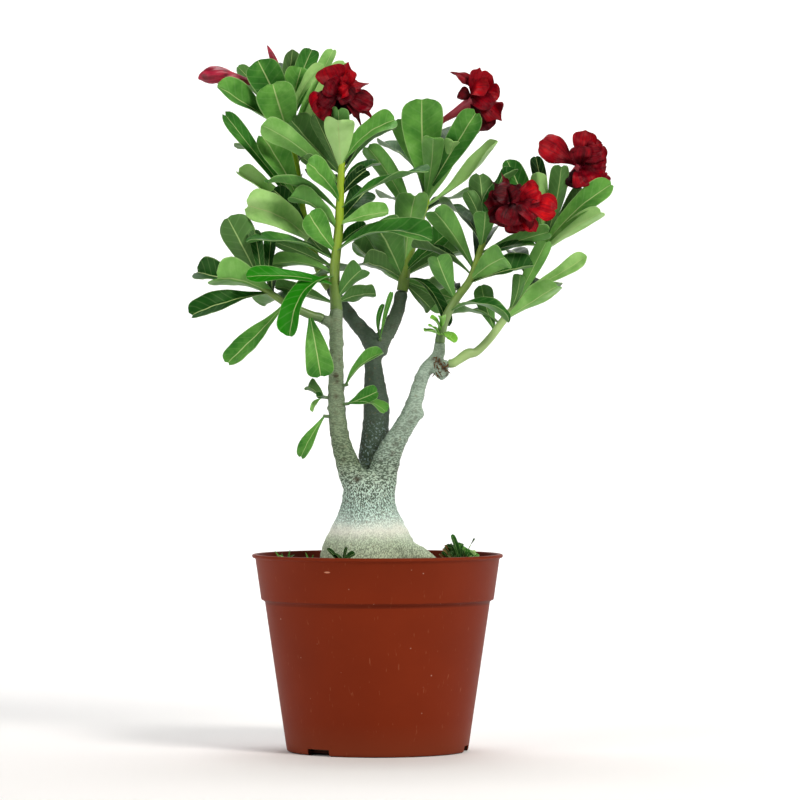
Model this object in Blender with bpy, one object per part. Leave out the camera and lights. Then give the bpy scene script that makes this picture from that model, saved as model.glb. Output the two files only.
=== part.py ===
"""A desert rose in a moulded nursery pot: caudex, three trunks, leafy shoots and double blooms."""

import math
import random

import bmesh
import bpy
from mathutils import Vector
from mathutils.bvhtree import BVHTree

MM = 0.001
GAP = 0.3  # between pieces that touch

# Pot, as radius and height of its outer and inner wall
POT_HEIGHT = 177
POT_WALL = 1.8
POT_FLOOR = 2.2
FOOT_RADIUS = 81.8
BODY_TOP_RADIUS = 101
BODY_TOP = 134
COLLAR_FOOT = 137
COLLAR_FOOT_RADIUS = 104.6
COLLAR_RADIUS = 109.8
LIP_RADIUS = 112.75
LIP_DEPTH = 3
POT_SIDES = 36
SLOT_WIDTH = 25
SLOT_HEIGHT = 6
SLOT_TURNS = (-40, 80, 200)  # degrees from the front, towards the right

# Soil
SOIL_LEVEL = 162
SOIL_RISE = 2.0
SOIL_SIDES = 22

# Caudex, as radius at each height, with its buried root
CAUDEX_X = -8
CAUDEX = (
    (78, 7), (105, 25), (130, 40), (148, 46), (163, 47), (174, 44.5), (183, 42),
    (195, 36.7), (207, 30.5), (216, 26.2), (226, 23.6), (236, 22), (246, 20), (253, 13),
)
CAUDEX_SIDES = 20
CAUDEX_LOBE = 0.035

# Woody limbs: x, y, z and radius along each
BUTTRESS = ((14, -16, 186, 13), (28, -22, 178, 11.5), (40, -26, 172, 10.5), (50, -29, 163, 9), (53, -31, 150, 6))
TRUNK_LEFT = (
    (-15, -3, 226, 12), (-21, -6, 242, 11.5), (-26, -9, 256, 10.5), (-31, -10, 271, 9.4), (-34, -11, 284, 8.5),
    (-36, -12, 302, 8), (-37, -12, 320, 7.5), (-37, -13, 338, 6.9), (-37, -13, 359, 6.4), (-37, -14, 378, 6.2),
    (-37, -14, 396, 6),
)
TRUNK_MIDDLE = (
    (-5, 8, 230, 16), (-5, 12, 252, 13), (-5, 14, 266, 12.3), (-2, 16, 288, 12), (-1, 18, 311, 11.6),
    (-3, 20, 333, 9.3), (-4, 22, 351, 7.6), (-1, 23, 364, 8.8), (-1, 23, 372, 6),
)
TRUNK_RIGHT = (
    (2, 0, 232, 14), (5, -4, 250, 13), (10, -7, 266, 11.5), (18, -9, 282, 9.6), (28, -11, 299, 8.6),
    (34, -13, 316, 7.2), (37, -14, 327, 6.4), (43, -16, 342, 6.2), (52, -18, 350, 6.6), (55, -19, 350, 6),
)
LIMB_LEFT = ((-37, -13, 380, 5), (-43, -15, 385, 4.8), (-49, -16, 388, 4.5))
ARM_LEFT = (
    (-2, 22, 358, 8), (-7, 24, 370, 7.6), (-14, 25, 379, 7.1), (-25, 26, 392, 6.3), (-34, 27, 405, 5.6),
    (-43, 28, 417, 5),
)
ARM_RIGHT = ((0, 22, 358, 8), (5, 24, 371, 7.4), (11, 25, 380, 6.9), (18, 27, 396, 6.2), (22, 29, 414, 5.5))
STUMP_UP = ((51, -17, 347, 6.2), (55, -19, 358, 5.6), (56, -20, 367, 4.8))
STUMP_OUT = ((51, -17, 349, 6), (58, -19, 347, 4.6), (64, -20, 348, 4.1))
STUMP_END = ((50, -16, 350, 6.5), (56, -19, 342, 6.2), (61, -21, 336, 5.2))
WOODY_SIDES = 8

# Leaves and petals
LEAF_THICKNESS = 1.0
LEAF_OUTLINE = ((0, 0), (0.38, 0.62), (0.78, 1), (1, 0.48))  # share of length, share of width
LEAF_FOLD = 20  # degrees that each half rises from the midrib
FLAT_BELOW = 12.7  # leaves narrower than this are flat across
PETIOLE_WIDTH = 3.2
PETAL_THICKNESS = 0.9
LEAF_CLEARANCE = 0.8
DEPTH_SHIFTS = (0, 6, -6, 12, -12, 18, -18, 26, -26, 34, -34)
HEIGHT_SHIFTS = (0, 5, -5, 10, -10)
GOLDEN_ANGLE = 137.5
SPIRAL_BACK = 0.3  # how far towards the back a spiral leaf has to point
SPIRAL_SEED = 21


class Shoot:
    """A leafy green stem: what it grows from, its path, its leaves and the leaves that fill its back."""

    def __init__(self, name, carrier, stem, leaves, stalks=(), spiral=0, sides=6):
        self.name = name
        self.stem = continued(carrier, stem)
        self.leaves = leaves
        self.stalks = [smooth_path(stalk, 2) for stalk in stalks]
        self.spiral = spiral
        self.sides = sides
        self.blades = []


def smooth_path(points, steps):
    """A Catmull-Rom path through points of x, y, z and radius, with this many steps in each span."""
    points = [Vector(point) for point in points]
    ends = [2 * points[0] - points[1], *points, 2 * points[-1] - points[-2]]
    path = []
    for before, start, end, after in zip(ends, ends[1:], ends[2:], ends[3:]):
        for step in range(steps):
            t = step / steps
            path.append(
                0.5
                * (
                    2 * start
                    + (end - before) * t
                    + (2 * before - 5 * start + 4 * end - after) * t**2
                    + (3 * start - before - 3 * end + after) * t**3
                )
            )
    return [*path, points[-1]]


def continued(carrier, stem, straight=4):
    """A path that goes on from a carrier's end, a gap away, so that the two end faces lie side by side."""
    tail, end = Vector(carrier[-2]), Vector(carrier[-1])
    onward = (end.xyz - tail.xyz).normalized()
    first = Vector((*(end.xyz + onward * GAP), end[3] * 0.95))
    second = Vector((*(end.xyz + onward * straight), (end[3] + stem[0][3]) / 2))
    return [first, second, *(Vector(point) for point in stem)]


def point_at_height(path, height):
    for low, high in zip(path, path[1:]):
        if low[2] <= height <= high[2]:
            return low.lerp(high, (height - low[2]) / (high[2] - low[2])).xyz
    return path[0 if height < path[0][2] else -1].xyz


def leaf_rows(root, tip, width, up, bow, outline=LEAF_OUTLINE):
    """Rows of left edge, midrib and right edge along a leaf, or of two edges, with the normal of each row."""
    along = tip - root
    up = (up - along * (up.dot(along) / along.length_squared)).normalized()
    knee = (root + tip) / 2 + up * (2 * bow * along.length)
    rows = []
    for t, share in outline:
        middle = root * (1 - t) ** 2 + knee * (2 * t * (1 - t)) + tip * t**2
        tangent = ((knee - root) * (1 - t) + (tip - knee) * t).normalized()
        side = tangent.cross(up).normalized()
        normal = side.cross(tangent)
        half = max(width * share, min(PETIOLE_WIDTH, 0.6 * width)) / 2
        if width < FLAT_BELOW:
            rows.append((middle - side * half, middle + side * half, normal))
            continue
        rise = math.radians(LEAF_FOLD)
        edge = side * (half * math.cos(rise))
        lift = normal * (half * math.sin(rise))
        rows.append((middle - edge + lift, middle, middle + edge + lift, normal))
    return rows


def facing(degrees):
    """The way a leaf's upper face looks: 0 is up, 90 is to the front and -90 is to the back."""
    angle = math.radians(degrees)
    return Vector((0, -math.sin(angle), math.cos(angle)))


def blade_mesh(rows, thickness):
    """A closed thin blade over rows of points and a normal, split into triangles alike on both faces."""
    points = []
    for *spots, normal in rows:
        points += [spot + normal * (thickness / 2) for spot in spots]
        points += [spot - normal * (thickness / 2) for spot in spots]
    n = len(rows[0]) - 1
    faces = []
    for row in range(len(rows) - 1):
        near, far = row * 2 * n, (row + 1) * 2 * n
        for a in range(n - 1):
            b = a + 1
            faces += [(near + a, near + b, far + b), (near + a, far + b, far + a)]
            faces += [(near + n + a, far + n + b, near + n + b), (near + n + a, far + n + a, far + n + b)]
        faces += [(near, far, far + n), (near, far + n, near + n)]
        faces += [(near + n - 1, near + 2 * n - 1, far + 2 * n - 1), (near + n - 1, far + 2 * n - 1, far + n - 1)]
    last = (len(rows) - 1) * 2 * n
    for a in range(n - 1):
        b = a + 1
        faces += [(a, n + a, n + b), (a, n + b, b)]
        faces += [(last + a, last + b, last + n + b), (last + a, last + n + b, last + n + a)]
    return points, faces


def tube_mesh(path, sides, grow=0.0):
    """A closed tube along x, y, z and radius, its rings turned as little as the path allows."""
    points = []
    side = None
    for index, spot in enumerate(path):
        before, after = path[max(index - 1, 0)].xyz, path[min(index + 1, len(path) - 1)].xyz
        tangent = (after - before).normalized()
        if side is None:
            side = tangent.orthogonal().normalized()
        side = (side - tangent * side.dot(tangent)).normalized()
        across = tangent.cross(side)
        for step in range(sides):
            turn = 2 * math.pi * step / sides
            points.append(spot.xyz + (side * math.cos(turn) + across * math.sin(turn)) * (spot[3] + grow))
    faces = []
    for ring in range(len(path) - 1):
        for step in range(sides):
            a, b = ring * sides + step, ring * sides + (step + 1) % sides
            faces.append((a, b, b + sides, a + sides))
    faces.append(tuple(reversed(range(sides))))
    faces.append(tuple(len(points) - sides + step for step in range(sides)))
    return points, faces


def turned_mesh(profile, sides, wave=lambda turn, radius, height: (radius, height)):
    """A closed solid turned round Z from a profile that starts and ends on the axis."""
    points = [(0, 0, wave(0, *profile[0])[1])]
    for radius, height in profile[1:-1]:
        for step in range(sides):
            turn = 2 * math.pi * step / sides
            r, z = wave(turn, radius, height)
            points.append((r * math.cos(turn), r * math.sin(turn), z))
    points.append((0, 0, wave(0, *profile[-1])[1]))
    faces = []
    rings = len(profile) - 2
    for step in range(sides):
        after = (step + 1) % sides
        faces.append((0, 1 + after, 1 + step))
        for ring in range(rings - 1):
            a, b = 1 + ring * sides + step, 1 + ring * sides + after
            faces.append((a, b, b + sides, a + sides))
        last = 1 + (rings - 1) * sides
        faces.append((last + step, last + after, len(points) - 1))
    return points, faces


def make(name, shape, colour=None, smooth=None):
    """An object of this name from points in millimetres and faces."""
    points, faces = shape
    mesh = bpy.data.meshes.new(name)
    mesh.from_pydata([Vector(point) * MM for point in points], [], faces)
    piece = bpy.data.objects.new(name, mesh)
    bpy.context.scene.collection.objects.link(piece)
    if colour:
        finish(piece, colour, smooth)
    return piece


def finish(piece, colour, smooth):
    piece.data.materials.clear()
    piece.data.materials.append(colour)
    piece.data.shade_smooth()
    piece.data.set_sharp_from_angle(angle=math.radians(smooth))


def material(name, colour, roughness):
    """A Principled material from an sRGB hex colour."""
    made = bpy.data.materials.new(name)
    made.use_nodes = True
    shader = made.node_tree.nodes["Principled BSDF"]
    parts = [int(colour[i : i + 2], 16) / 255 for i in (1, 3, 5)]
    linear = [part / 12.92 if part <= 0.04045 else ((part + 0.055) / 1.055) ** 2.4 for part in parts]
    shader.inputs["Base Color"].default_value = (*linear, 1)
    shader.inputs["Roughness"].default_value = roughness
    shader.inputs["Metallic"].default_value = 0
    return made


def combine(piece, others, operation="UNION", solver="MANIFOLD"):
    """One Boolean of a piece and a collection of others, applied, with the others then removed."""
    group = bpy.data.collections.new("repeats")
    bpy.context.scene.collection.children.link(group)
    for other in others:
        group.objects.link(other)
        bpy.context.scene.collection.objects.unlink(other)
    boolean = piece.modifiers.new("repeats", "BOOLEAN")
    boolean.operand_type = "COLLECTION"
    boolean.collection = group
    boolean.operation = operation
    boolean.solver = solver
    bpy.context.view_layer.update()
    evaluated = piece.evaluated_get(bpy.context.evaluated_depsgraph_get())
    joined = bpy.data.meshes.new_from_object(evaluated)
    piece.modifiers.clear()
    old = piece.data
    piece.data = joined
    joined.name = piece.name
    bpy.data.meshes.remove(old)
    for other in others:
        bpy.data.objects.remove(other)
    bpy.data.collections.remove(group)
    return piece


def largest_body(piece):
    """Drops loose scraps that a Boolean leaves, and merges points that lie on each other."""
    mesh = bmesh.new()
    mesh.from_mesh(piece.data)
    bmesh.ops.remove_doubles(mesh, verts=mesh.verts, dist=2e-6)
    left = set(mesh.verts)
    bodies = []
    while left:
        body, edge = set(), [left.pop()]
        while edge:
            vert = edge.pop()
            body.add(vert)
            linked = {link.other_vert(vert) for link in vert.link_edges} - body
            edge += linked & left
            left -= linked
        bodies.append(body)
    bodies.sort(key=len)
    scraps = [vert for body in bodies[:-1] for vert in body]
    bmesh.ops.delete(mesh, geom=scraps, context="VERTS")
    mesh.to_mesh(piece.data)
    mesh.free()


class Surroundings:
    """What has been placed so far, to bend each new leaf clear of it."""

    def __init__(self):
        self.placed = []

    def add(self, owner, shape):
        self.placed.append((owner, *self.tree(shape)))

    @staticmethod
    def tree(shape):
        points, faces = shape
        low = [min(point[axis] for point in points) for axis in range(3)]
        high = [max(point[axis] for point in points) for axis in range(3)]
        return low, high, BVHTree.FromPolygons(points, faces)

    def crossed(self, owner, whole, outer):
        """How many placed things a leaf crosses: near its root, only things of other owners count."""
        whole, outer = self.tree(whole), self.tree(outer)
        count = 0
        for other, low, high, tree in self.placed:
            mine = outer if other == owner else whole
            if all(low[i] <= mine[1][i] and high[i] >= mine[0][i] for i in range(3)):
                count += bool(mine[2].overlap(tree))
        return count


def guard(root, tip, width, up, bow, start):
    """A leaf's outline grown by the clearance, from this share of its length on."""
    outline = [(max(t, start), share) for t, share in LEAF_OUTLINE if t >= start - 0.38]
    rows = leaf_rows(root, tip, width + 2 * LEAF_CLEARANCE, up, bow, outline)
    return blade_mesh(rows, LEAF_THICKNESS + 2 * LEAF_CLEARANCE)


def place_leaf(shoot, around, root, tip, width, up, bow):
    """Bends a leaf clear of what stands round it, first in depth, and keeps it if it crosses nothing."""
    shifts = [Vector((0, depth, height)) for depth in DEPTH_SHIFTS for height in HEIGHT_SHIFTS]
    shifts.sort(key=lambda shift: abs(shift.y) + 2 * abs(shift.z))
    for shift in shifts:
        bent = tip + shift
        whole = guard(root, bent, width, up, bow, 0.1)
        outer = guard(root, bent, width, up, bow, 0.4)
        if not around.crossed(shoot.name, whole, outer):
            around.add(shoot.name, whole)
            shoot.blades.append((root, bent, width, up, bow))
            return


def spiral_leaves(shoot, draw):
    """Leaves by the golden angle up the shoot, longer and flatter low down, for the sides that face back."""
    leaves = []
    foot, top = shoot.stem[len(shoot.stem) // 2].z, shoot.stem[-1].z
    turn = draw.uniform(0, 360)
    for index in range(shoot.spiral):
        share = (index + 0.5) / shoot.spiral
        turn += GOLDEN_ANGLE
        angle = math.radians(turn)
        if math.sin(angle) < SPIRAL_BACK:
            continue
        root = point_at_height(shoot.stem, foot + (top - foot) * share)
        lean = math.radians(82 - 44 * share + draw.uniform(-8, 8))
        outward = Vector((math.cos(angle), math.sin(angle), 0))
        reach = draw.uniform(62, 78)
        tip = root + (outward * math.sin(lean) + Vector((0, 0, math.cos(lean)))) * reach
        up = Vector((0, 0, 1)) - outward * 0.5
        leaves.append((root, tip, draw.uniform(22, 29), up, 0.1))
    return leaves


def rooted_leaves(root, leaves):
    """Leaves that rise from nearly one point, each a little beside the last."""
    blades = []
    for index, (tip, width, face, bow) in enumerate(leaves):
        beside = Vector((0.11 * index, 0.23 * (index % 3) - 0.2, -0.26 * index))
        blades.append((root + beside, Vector(tip), width, facing(face), bow))
    return blades


def leaf_piece(blade):
    return make("leaf", blade_mesh(leaf_rows(*blade), LEAF_THICKNESS))


# Each leaf: height of its root on the stem, its tip, its width, the way it faces and how far it bows
LEADER = Shoot(
    "shoot_leader",
    TRUNK_LEFT,
    (
        (-38, -15, 414, 4.8), (-38, -15, 437, 4.5), (-35, -16, 464, 4.2), (-34, -17, 482, 3.9),
        (-33, -18, 504, 3.5), (-32, -18, 527, 3), (-32, -17, 540, 2.4),
    ),
    (
        (520, (-35, -40, 565), 27, -90, 0.06), (526, (17, -25, 568), 22, 45, 0.12),
        (486, (48, -45, 520), 28, 25, 0.08), (448, (49, -60, 459), 30, 35, 0.14),
        (472, (11, -35, 483), 18, 60, 0.08), (405, (-13, -40, 433), 20, -60, 0.05),
        (402, (-1, -15, 412), 26, -45, 0.05), (492, (-64, -45, 527), 25, 50, 0.08),
        (466, (-78, -35, 498), 22, -20, 0.10), (448, (-62, -30, 483), 25, 60, 0.04), (483, (-99, -50, 509), 18, -35, 0.14),
        (440, (-118, -40, 457), 24, 25, 0.10), (418, (-117, -50, 422), 22, 50, 0.12),
        (428, (-96, -10, 439), 16, -50, 0.10), (426, (-77, -60, 370), 20, 60, 0.34),
        (401, (-94, 15, 420), 18, -50, 0.05), (518, (-79, 5, 569), 29, -70, 0.05),
        (508, (-104, -30, 562), 22, -55, 0.14), (522, (-3, 20, 563), 18, 80, 0.05),
        (508, (2, -5, 530), 16, 30, 0.06), (474, (-9, 10, 506), 24, 70, 0.06),
    ),
    stalks=(((-32, -17, 536, 2.4), (-33, -8, 558, 2.1), (-34, 0, 576, 2)),),
    spiral=7,
)
UPPER_LEFT = Shoot(
    "shoot_upper_left",
    ARM_LEFT,
    (
        (-50, 29, 428, 4.6), (-62, 30, 459, 4.2), (-70, 30, 495, 3.9), (-74, 30, 527, 3.6),
        (-80, 29, 554, 3.2), (-84, 28, 570, 2.4),
    ),
    (
        (553, (-95, -15, 602), 36, 75, 0.08), (556, (-145, 0, 598), 25, 45, 0.02),
        (565, (-108, 10, 622), 32, 80, 0.05), (562, (-69, 25, 617), 25, 85, 0.08),
        (560, (-59, 40, 636), 18, 70, 0.08), (565, (-77, 50, 635), 16, -80, 0.08),
        (558, (-50, 5, 620), 13, 40, 0.08), (553, (-40, 55, 636), 14, 60, 0.08),
        (544, (-29, 30, 624), 18, 60, 0.08), (567, (-128, 45, 620), 14, -60, 0.08),
        (488, (-136, -5, 573), 30, 45, 0.05), (474, (-128, 30, 525), 20, 60, 0),
        (456, (-120, -10, 490), 36, 60, 0.16),
    ),
    stalks=(
        ((-84, 28, 566, 2.2), (-93, 20, 588, 2), (-104, 14, 599, 2.2)),
        ((-84, 28, 566, 2), (-88, 30, 590, 1.8), (-90, 30, 606, 1.8)),
    ),
    spiral=15,
)
LEFT = Shoot(
    "shoot_left",
    LIMB_LEFT,
    ((-58, -18, 391, 4), (-70, -21, 396, 3.7), (-82, -24, 402, 3.3), (-94, -27, 410, 3), (-104, -30, 416, 2.5)),
    (
        (416, (-164, -5, 431), 27, 45, 0.04), (408, (-144, -60, 424), 31, -50, 0.08),
        (411, (-167, -45, 389), 26, 35, 0.05), (402, (-135, -40, 348), 24, 35, -0.04),
        (392, (-50, -30, 335), 25, 75, 0.10), (414, (-133, -20, 482), 26, -70, 0),
        (415, (-110, -42, 478), 12, 60, 0.04), (412, (-95, -5, 461), 11, 60, 0.08),
    ),
    spiral=8,
)
CENTRE = Shoot(
    "shoot_centre",
    ARM_RIGHT,
    ((26, 30, 437, 4.9), (33, 32, 464, 4.4), (42, 34, 491, 3.9), (47, 35, 513, 3.3), (49, 35, 524, 2.4)),
    (
        (504, (40, 20, 589), 36, 85, 0.04), (504, (21, 5, 571), 23, -70, 0.05),
        (503, (92, 15, 577), 27, 65, 0.05), (492, (69, -12, 548), 18, -80, 0.08),
        (495, (50, 0, 552), 20, -85, 0.06), (490, (108, 5, 549), 20, 40, -0.03),
        (470, (-10, 15, 545), 20, -50, 0.10), (430, (34, -5, 501), 29, -80, 0.06),
        (424, (-2, 0, 476), 38, -75, 0.03), (421, (-23, 15, 459), 30, -35, 0),
        (432, (68, 0, 469), 23, 50, 0.06), (427, (79, 10, 452), 25, -45, 0.06),
        (424, (69, 28, 407), 26, -70, 0.1), (421, (62, 50, 397), 20, -60, 0.1),
        (425, (64, -15, 380), 13, 40, 0.25),
    ),
    stalks=(((49, 35, 520, 2.4), (52, 31, 548, 2), (57, 22, 566, 2)),),
    spiral=15,
)
RIGHT_INNER = Shoot(
    "shoot_right_inner",
    STUMP_UP,
    (
        (59, -21, 383, 4.2), (64, -22, 395, 4), (72, -23, 408, 3.7), (83, -24, 423, 3.4),
        (89, -24, 440, 3.1), (94, -24, 455, 2.8), (97, -24, 466, 2.2),
    ),
    (
        (420, (51, -45, 482), 20, -50, 0.15), (405, (53, -40, 445), 22, -70, 0.03),
        (452, (92, 5, 521), 23, -80, 0.05), (459, (80, -10, 504), 14, -60, 0.08),
        (450, (96, -50, 483), 20, -80, 0.05), (422, (114, -60, 443), 26, -75, 0.05),
        (419, (140, -40, 437), 26, 35, 0.06), (446, (154, -40, 465), 16, -60, 0.10),
        (393, (117, -45, 384), 22, 20, 0.22), (374, (45, -31, 389), 8, 40, 0.10),
        (372, (42, -36, 377), 9, 30, 0.10), (373, (70, -38, 367), 9, 40, 0.20),
    ),
    stalks=(((97, -24, 464, 2.2), (101, -22, 473, 2), (106, -23, 480, 2)),),
    spiral=11,
)
RIGHT_OUTER = Shoot(
    "shoot_right_outer",
    STUMP_OUT,
    (
        (72, -20, 351, 3.9), (81, -18, 357, 4.6), (89, -17, 359, 3.8), (101, -14, 371, 3.6),
        (113, -10, 387, 3.5), (124, -5, 401, 3.3), (135, 0, 423, 3.1), (146, 4, 446, 2.8), (153, 6, 460, 2.2),
    ),
    (
        (377, (93, 15, 421), 18, -80, 0), (414, (187, -10, 446), 20, 60, -0.04),
        (386, (161, -35, 418), 22, -55, 0.08), (395, (152, -30, 460), 16, -70, 0.08),
        (450, (211, -15, 508), 27, 60, 0.03), (446, (201, -30, 479), 21, -60, -0.02),
        (455, (165, -25, 525), 18, -80, 0.05), (456, (143, 25, 537), 13, 80, 0.05),
        (456, (144, -10, 520), 16, -80, 0.05), (452, (116, 0, 532), 20, 70, 0.08),
    ),
    stalks=(((153, 6, 456, 2.3), (160, 8, 485, 2), (167, 6, 505, 2)),),
    spiral=11,
)
SHOOTS = (LEADER, UPPER_LEFT, LEFT, CENTRE, RIGHT_INNER, RIGHT_OUTER)

# Small sprouts stand in sockets on the trunks: name, seat on the limb's axis, direction, limb radius, leaves
SPROUT_RADIUS = 1.5
SPROUT_REACH = 4.5
SOCKET_DEPTH = 2.5
SPROUTS = (
    ("sprout_left", (-37, -12, 317), (-1, -0.25, 0.1), 8, (((-63, -20, 328), 9, -60, 0.08), ((-58, -22, 306), 9, 30, 0.08))),
    ("sprout_spoon", (-36, -12, 300), (-1, -0.3, 0.1), 8.5, (((-70, -24, 263), 11, 50, 0.15),)),
    ("sprout_right", (-37.5, -12.5, 327), (0.9, -0.45, 0.2), 7.9, (((7, -27, 358), 17, 40, 0.14),)),
    ("sprout_folded", (-36.5, -12, 311), (0.85, -0.5, 0.1), 8.2, (((9, -32, 306), 18, 20, 0.10),)),
    ("sprout_fork", (0, 23, 364), (0.2, -0.8, 0.55), 8.6, (((13, 6, 414), 5, 60, 0.05), ((5, 4, 403), 6, 40, 0.10))),
)

# Layers of a bloom: petals, length, width, lean in degrees and rows of points along each petal
BLOOM_LAYERS = ((5, 30, 24, 80, 4), (4, 26, 19, 52, 3), (2, 21, 15, 25, 3))
PETAL_OUTLINE = ((0, 0.25), (0.4, 0.75), (0.75, 1), (1, 0.55))  # of a petal that stands out, as for a leaf
PETAL_TWIST = 16  # degrees that each petal turns to pass over its neighbour
# Blooms: name, the shoot whose stalk carries it, its tube to the throat, the way it looks, a seed, and
# the petals that stand out of its layers, each as tip, width, facing and bow
BLOOMS = (
    (
        "bloom_leader", LEADER, ((-35, -8, 585, 3.4), (-35, -24, 588, 5.5)), (0, -1, 0.12), 3,
        (((-25, -24, 617), 8, 90, 0.08), ((-8, -28, 602), 7, 60, 0.08)),
    ),
    (
        "bloom_centre", CENTRE, ((70, 17, 575, 3.8), (87, 10, 586, 5.5)), (0.8, -0.5, 0.2), 5,
        (((69, 6, 611), 8, 90, 0.08), ((80, 16, 552), 18, -60, 0.08)),
    ),
    (
        "bloom_right_outer", RIGHT_OUTER, ((175, 0, 517, 3.6), (184, -8, 526, 5.5)), (0.72, -0.68, 0.1), 8,
        (((146, -14, 545), 24, 80, 0.08),),
    ),
    (
        "bloom_right_inner", RIGHT_INNER, ((113, -31, 487, 3.6), (122, -44, 491, 5.5)), (0.3, -0.9, 0.25), 13,
        (((161, -58, 489), 24, 80, 0.08), ((110, -40, 518), 8, 80, 0.08)),
    ),
)
BUDS = (
    ("bud_long", 0, ((-122, 11, 604, 3.4), (-138, 9, 608, 7), (-150, 7, 608, 8), (-161, 6, 605, 1))),
    ("bud_small", 1, ((-93, 30, 620, 3.3), (-97, 29, 630, 2.4), (-100, 29, 637, 0.6))),
)

# Weeds: name, where they stand in the soil, colour, and each leaf's tip, width, facing and bow
WEEDS = (
    (
        "weed_clump",
        (74, -22),
        (
            ((58, -30, 184), 10, 40, 0.1), ((69, -32, 192), 10, 60, 0.1), ((81, -14, 194), 10, 70, 0.1),
            ((88, -33, 186), 10, 40, 0.1), ((94, -21, 180), 8, 20, 0.1),
        ),
    ),
    ("weed_front", (-31, -62), (((-44, -66, 184), 6, 40, 0.15), ((-18, -68, 180), 7, 40, 0.2))),
    ("grass_left", (-82, -18), (((-92, -22, 181), 3, 60, 0.1), ((-78, -24, 182), 3, 60, 0.1), ((-86, -10, 178), 3, 60, 0.1))),
    ("grass_middle", (-60, -34), (((-64, -38, 180), 3, 60, 0.1), ((-57, -32, 178), 3, 60, 0.1))),
)
WEED_RADIUS = 1.4
WEED_DEPTH = 9


def pot_profile():
    floor_radius = FOOT_RADIUS - 5
    outer = [
        (0, 0), (floor_radius, 0), (FOOT_RADIUS - 1.5, 1.2), (FOOT_RADIUS, 4), (BODY_TOP_RADIUS, BODY_TOP),
        (COLLAR_FOOT_RADIUS, COLLAR_FOOT), (COLLAR_RADIUS, POT_HEIGHT - LIP_DEPTH - 0.5),
        (LIP_RADIUS, POT_HEIGHT - LIP_DEPTH), (LIP_RADIUS, POT_HEIGHT - 0.8), (LIP_RADIUS - 0.8, POT_HEIGHT),
    ]
    inner = [
        (COLLAR_RADIUS - 1, POT_HEIGHT), (COLLAR_RADIUS - POT_WALL, POT_HEIGHT - 1.2),
        (COLLAR_FOOT_RADIUS - POT_WALL, COLLAR_FOOT + POT_WALL), (BODY_TOP_RADIUS - POT_WALL, BODY_TOP + 0.6),
        (FOOT_RADIUS - POT_WALL, 4.6), (floor_radius, POT_FLOOR), (0, POT_FLOOR),
    ]
    return outer + inner


def build_pot():
    pot = make("pot", turned_mesh(pot_profile(), POT_SIDES))
    slots = []
    for turn in SLOT_TURNS:
        slot = bmesh.new()
        bmesh.ops.create_cube(slot, size=1)
        bmesh.ops.scale(slot, verts=slot.verts, vec=(SLOT_WIDTH * MM, 14 * MM, 2 * SLOT_HEIGHT * MM))
        bmesh.ops.translate(slot, verts=slot.verts, vec=(0, -(FOOT_RADIUS - 1) * MM, 0))
        cutter = make("slot", ([], []))
        slot.to_mesh(cutter.data)
        slot.free()
        cutter.rotation_euler.z = math.radians(turn)
        slots.append(cutter)
    bpy.context.view_layer.update()
    combine(pot, slots, "DIFFERENCE", "EXACT")
    finish(pot, material("moulded plastic", "#8c3216", 0.42), 28)
    return pot


def caudex_body(grow=0.0):
    """The swollen base and its root, a little lobed, grown by a gap for the soil's hole."""

    def lobed(turn, radius, height):
        if radius == 0:
            return radius, height
        lobes = math.sin(3 * turn + 0.6) + 0.6 * math.sin(5 * turn + height * 0.02)
        return radius * (1 + CAUDEX_LOBE * lobes) + grow, height

    profile = [(0, CAUDEX[0][0] - 6 - grow), *((radius, height) for height, radius in CAUDEX)]
    profile.append((0, CAUDEX[-1][0] + 3 + grow))
    points, faces = turned_mesh(profile, CAUDEX_SIDES, lobed)
    return [Vector(point) + Vector((CAUDEX_X, 0, 0)) for point in points], faces


def build_caudex():
    caudex = make("caudex", caudex_body())
    limbs = [BUTTRESS, TRUNK_LEFT, TRUNK_MIDDLE, TRUNK_RIGHT, LIMB_LEFT, ARM_LEFT, ARM_RIGHT]
    limbs += [STUMP_UP, STUMP_OUT, STUMP_END]
    tubes = [make("limb", tube_mesh(smooth_path(limb, 1), WOODY_SIDES)) for limb in limbs]
    combine(caudex, tubes)
    sockets = []
    for _, seat, way, radius, _ in SPROUTS:
        outward = Vector(way).normalized()
        ends = (radius - SOCKET_DEPTH - GAP, radius + 6)
        path = [Vector((*(Vector(seat) + outward * reach), SPROUT_RADIUS + GAP)) for reach in ends]
        sockets.append(make("socket", tube_mesh(path, 6)))
    combine(caudex, sockets, "DIFFERENCE")
    largest_body(caudex)
    finish(caudex, material("smooth grey-green bark", "#8fa08c", 0.7), 50)
    return caudex


def soil_height(x, y):
    return SOIL_LEVEL + SOIL_RISE * (math.sin(x * 0.06 + 1) * math.cos(y * 0.07) + 0.5 * math.sin(x * 0.13 + y * 0.11))


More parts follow.
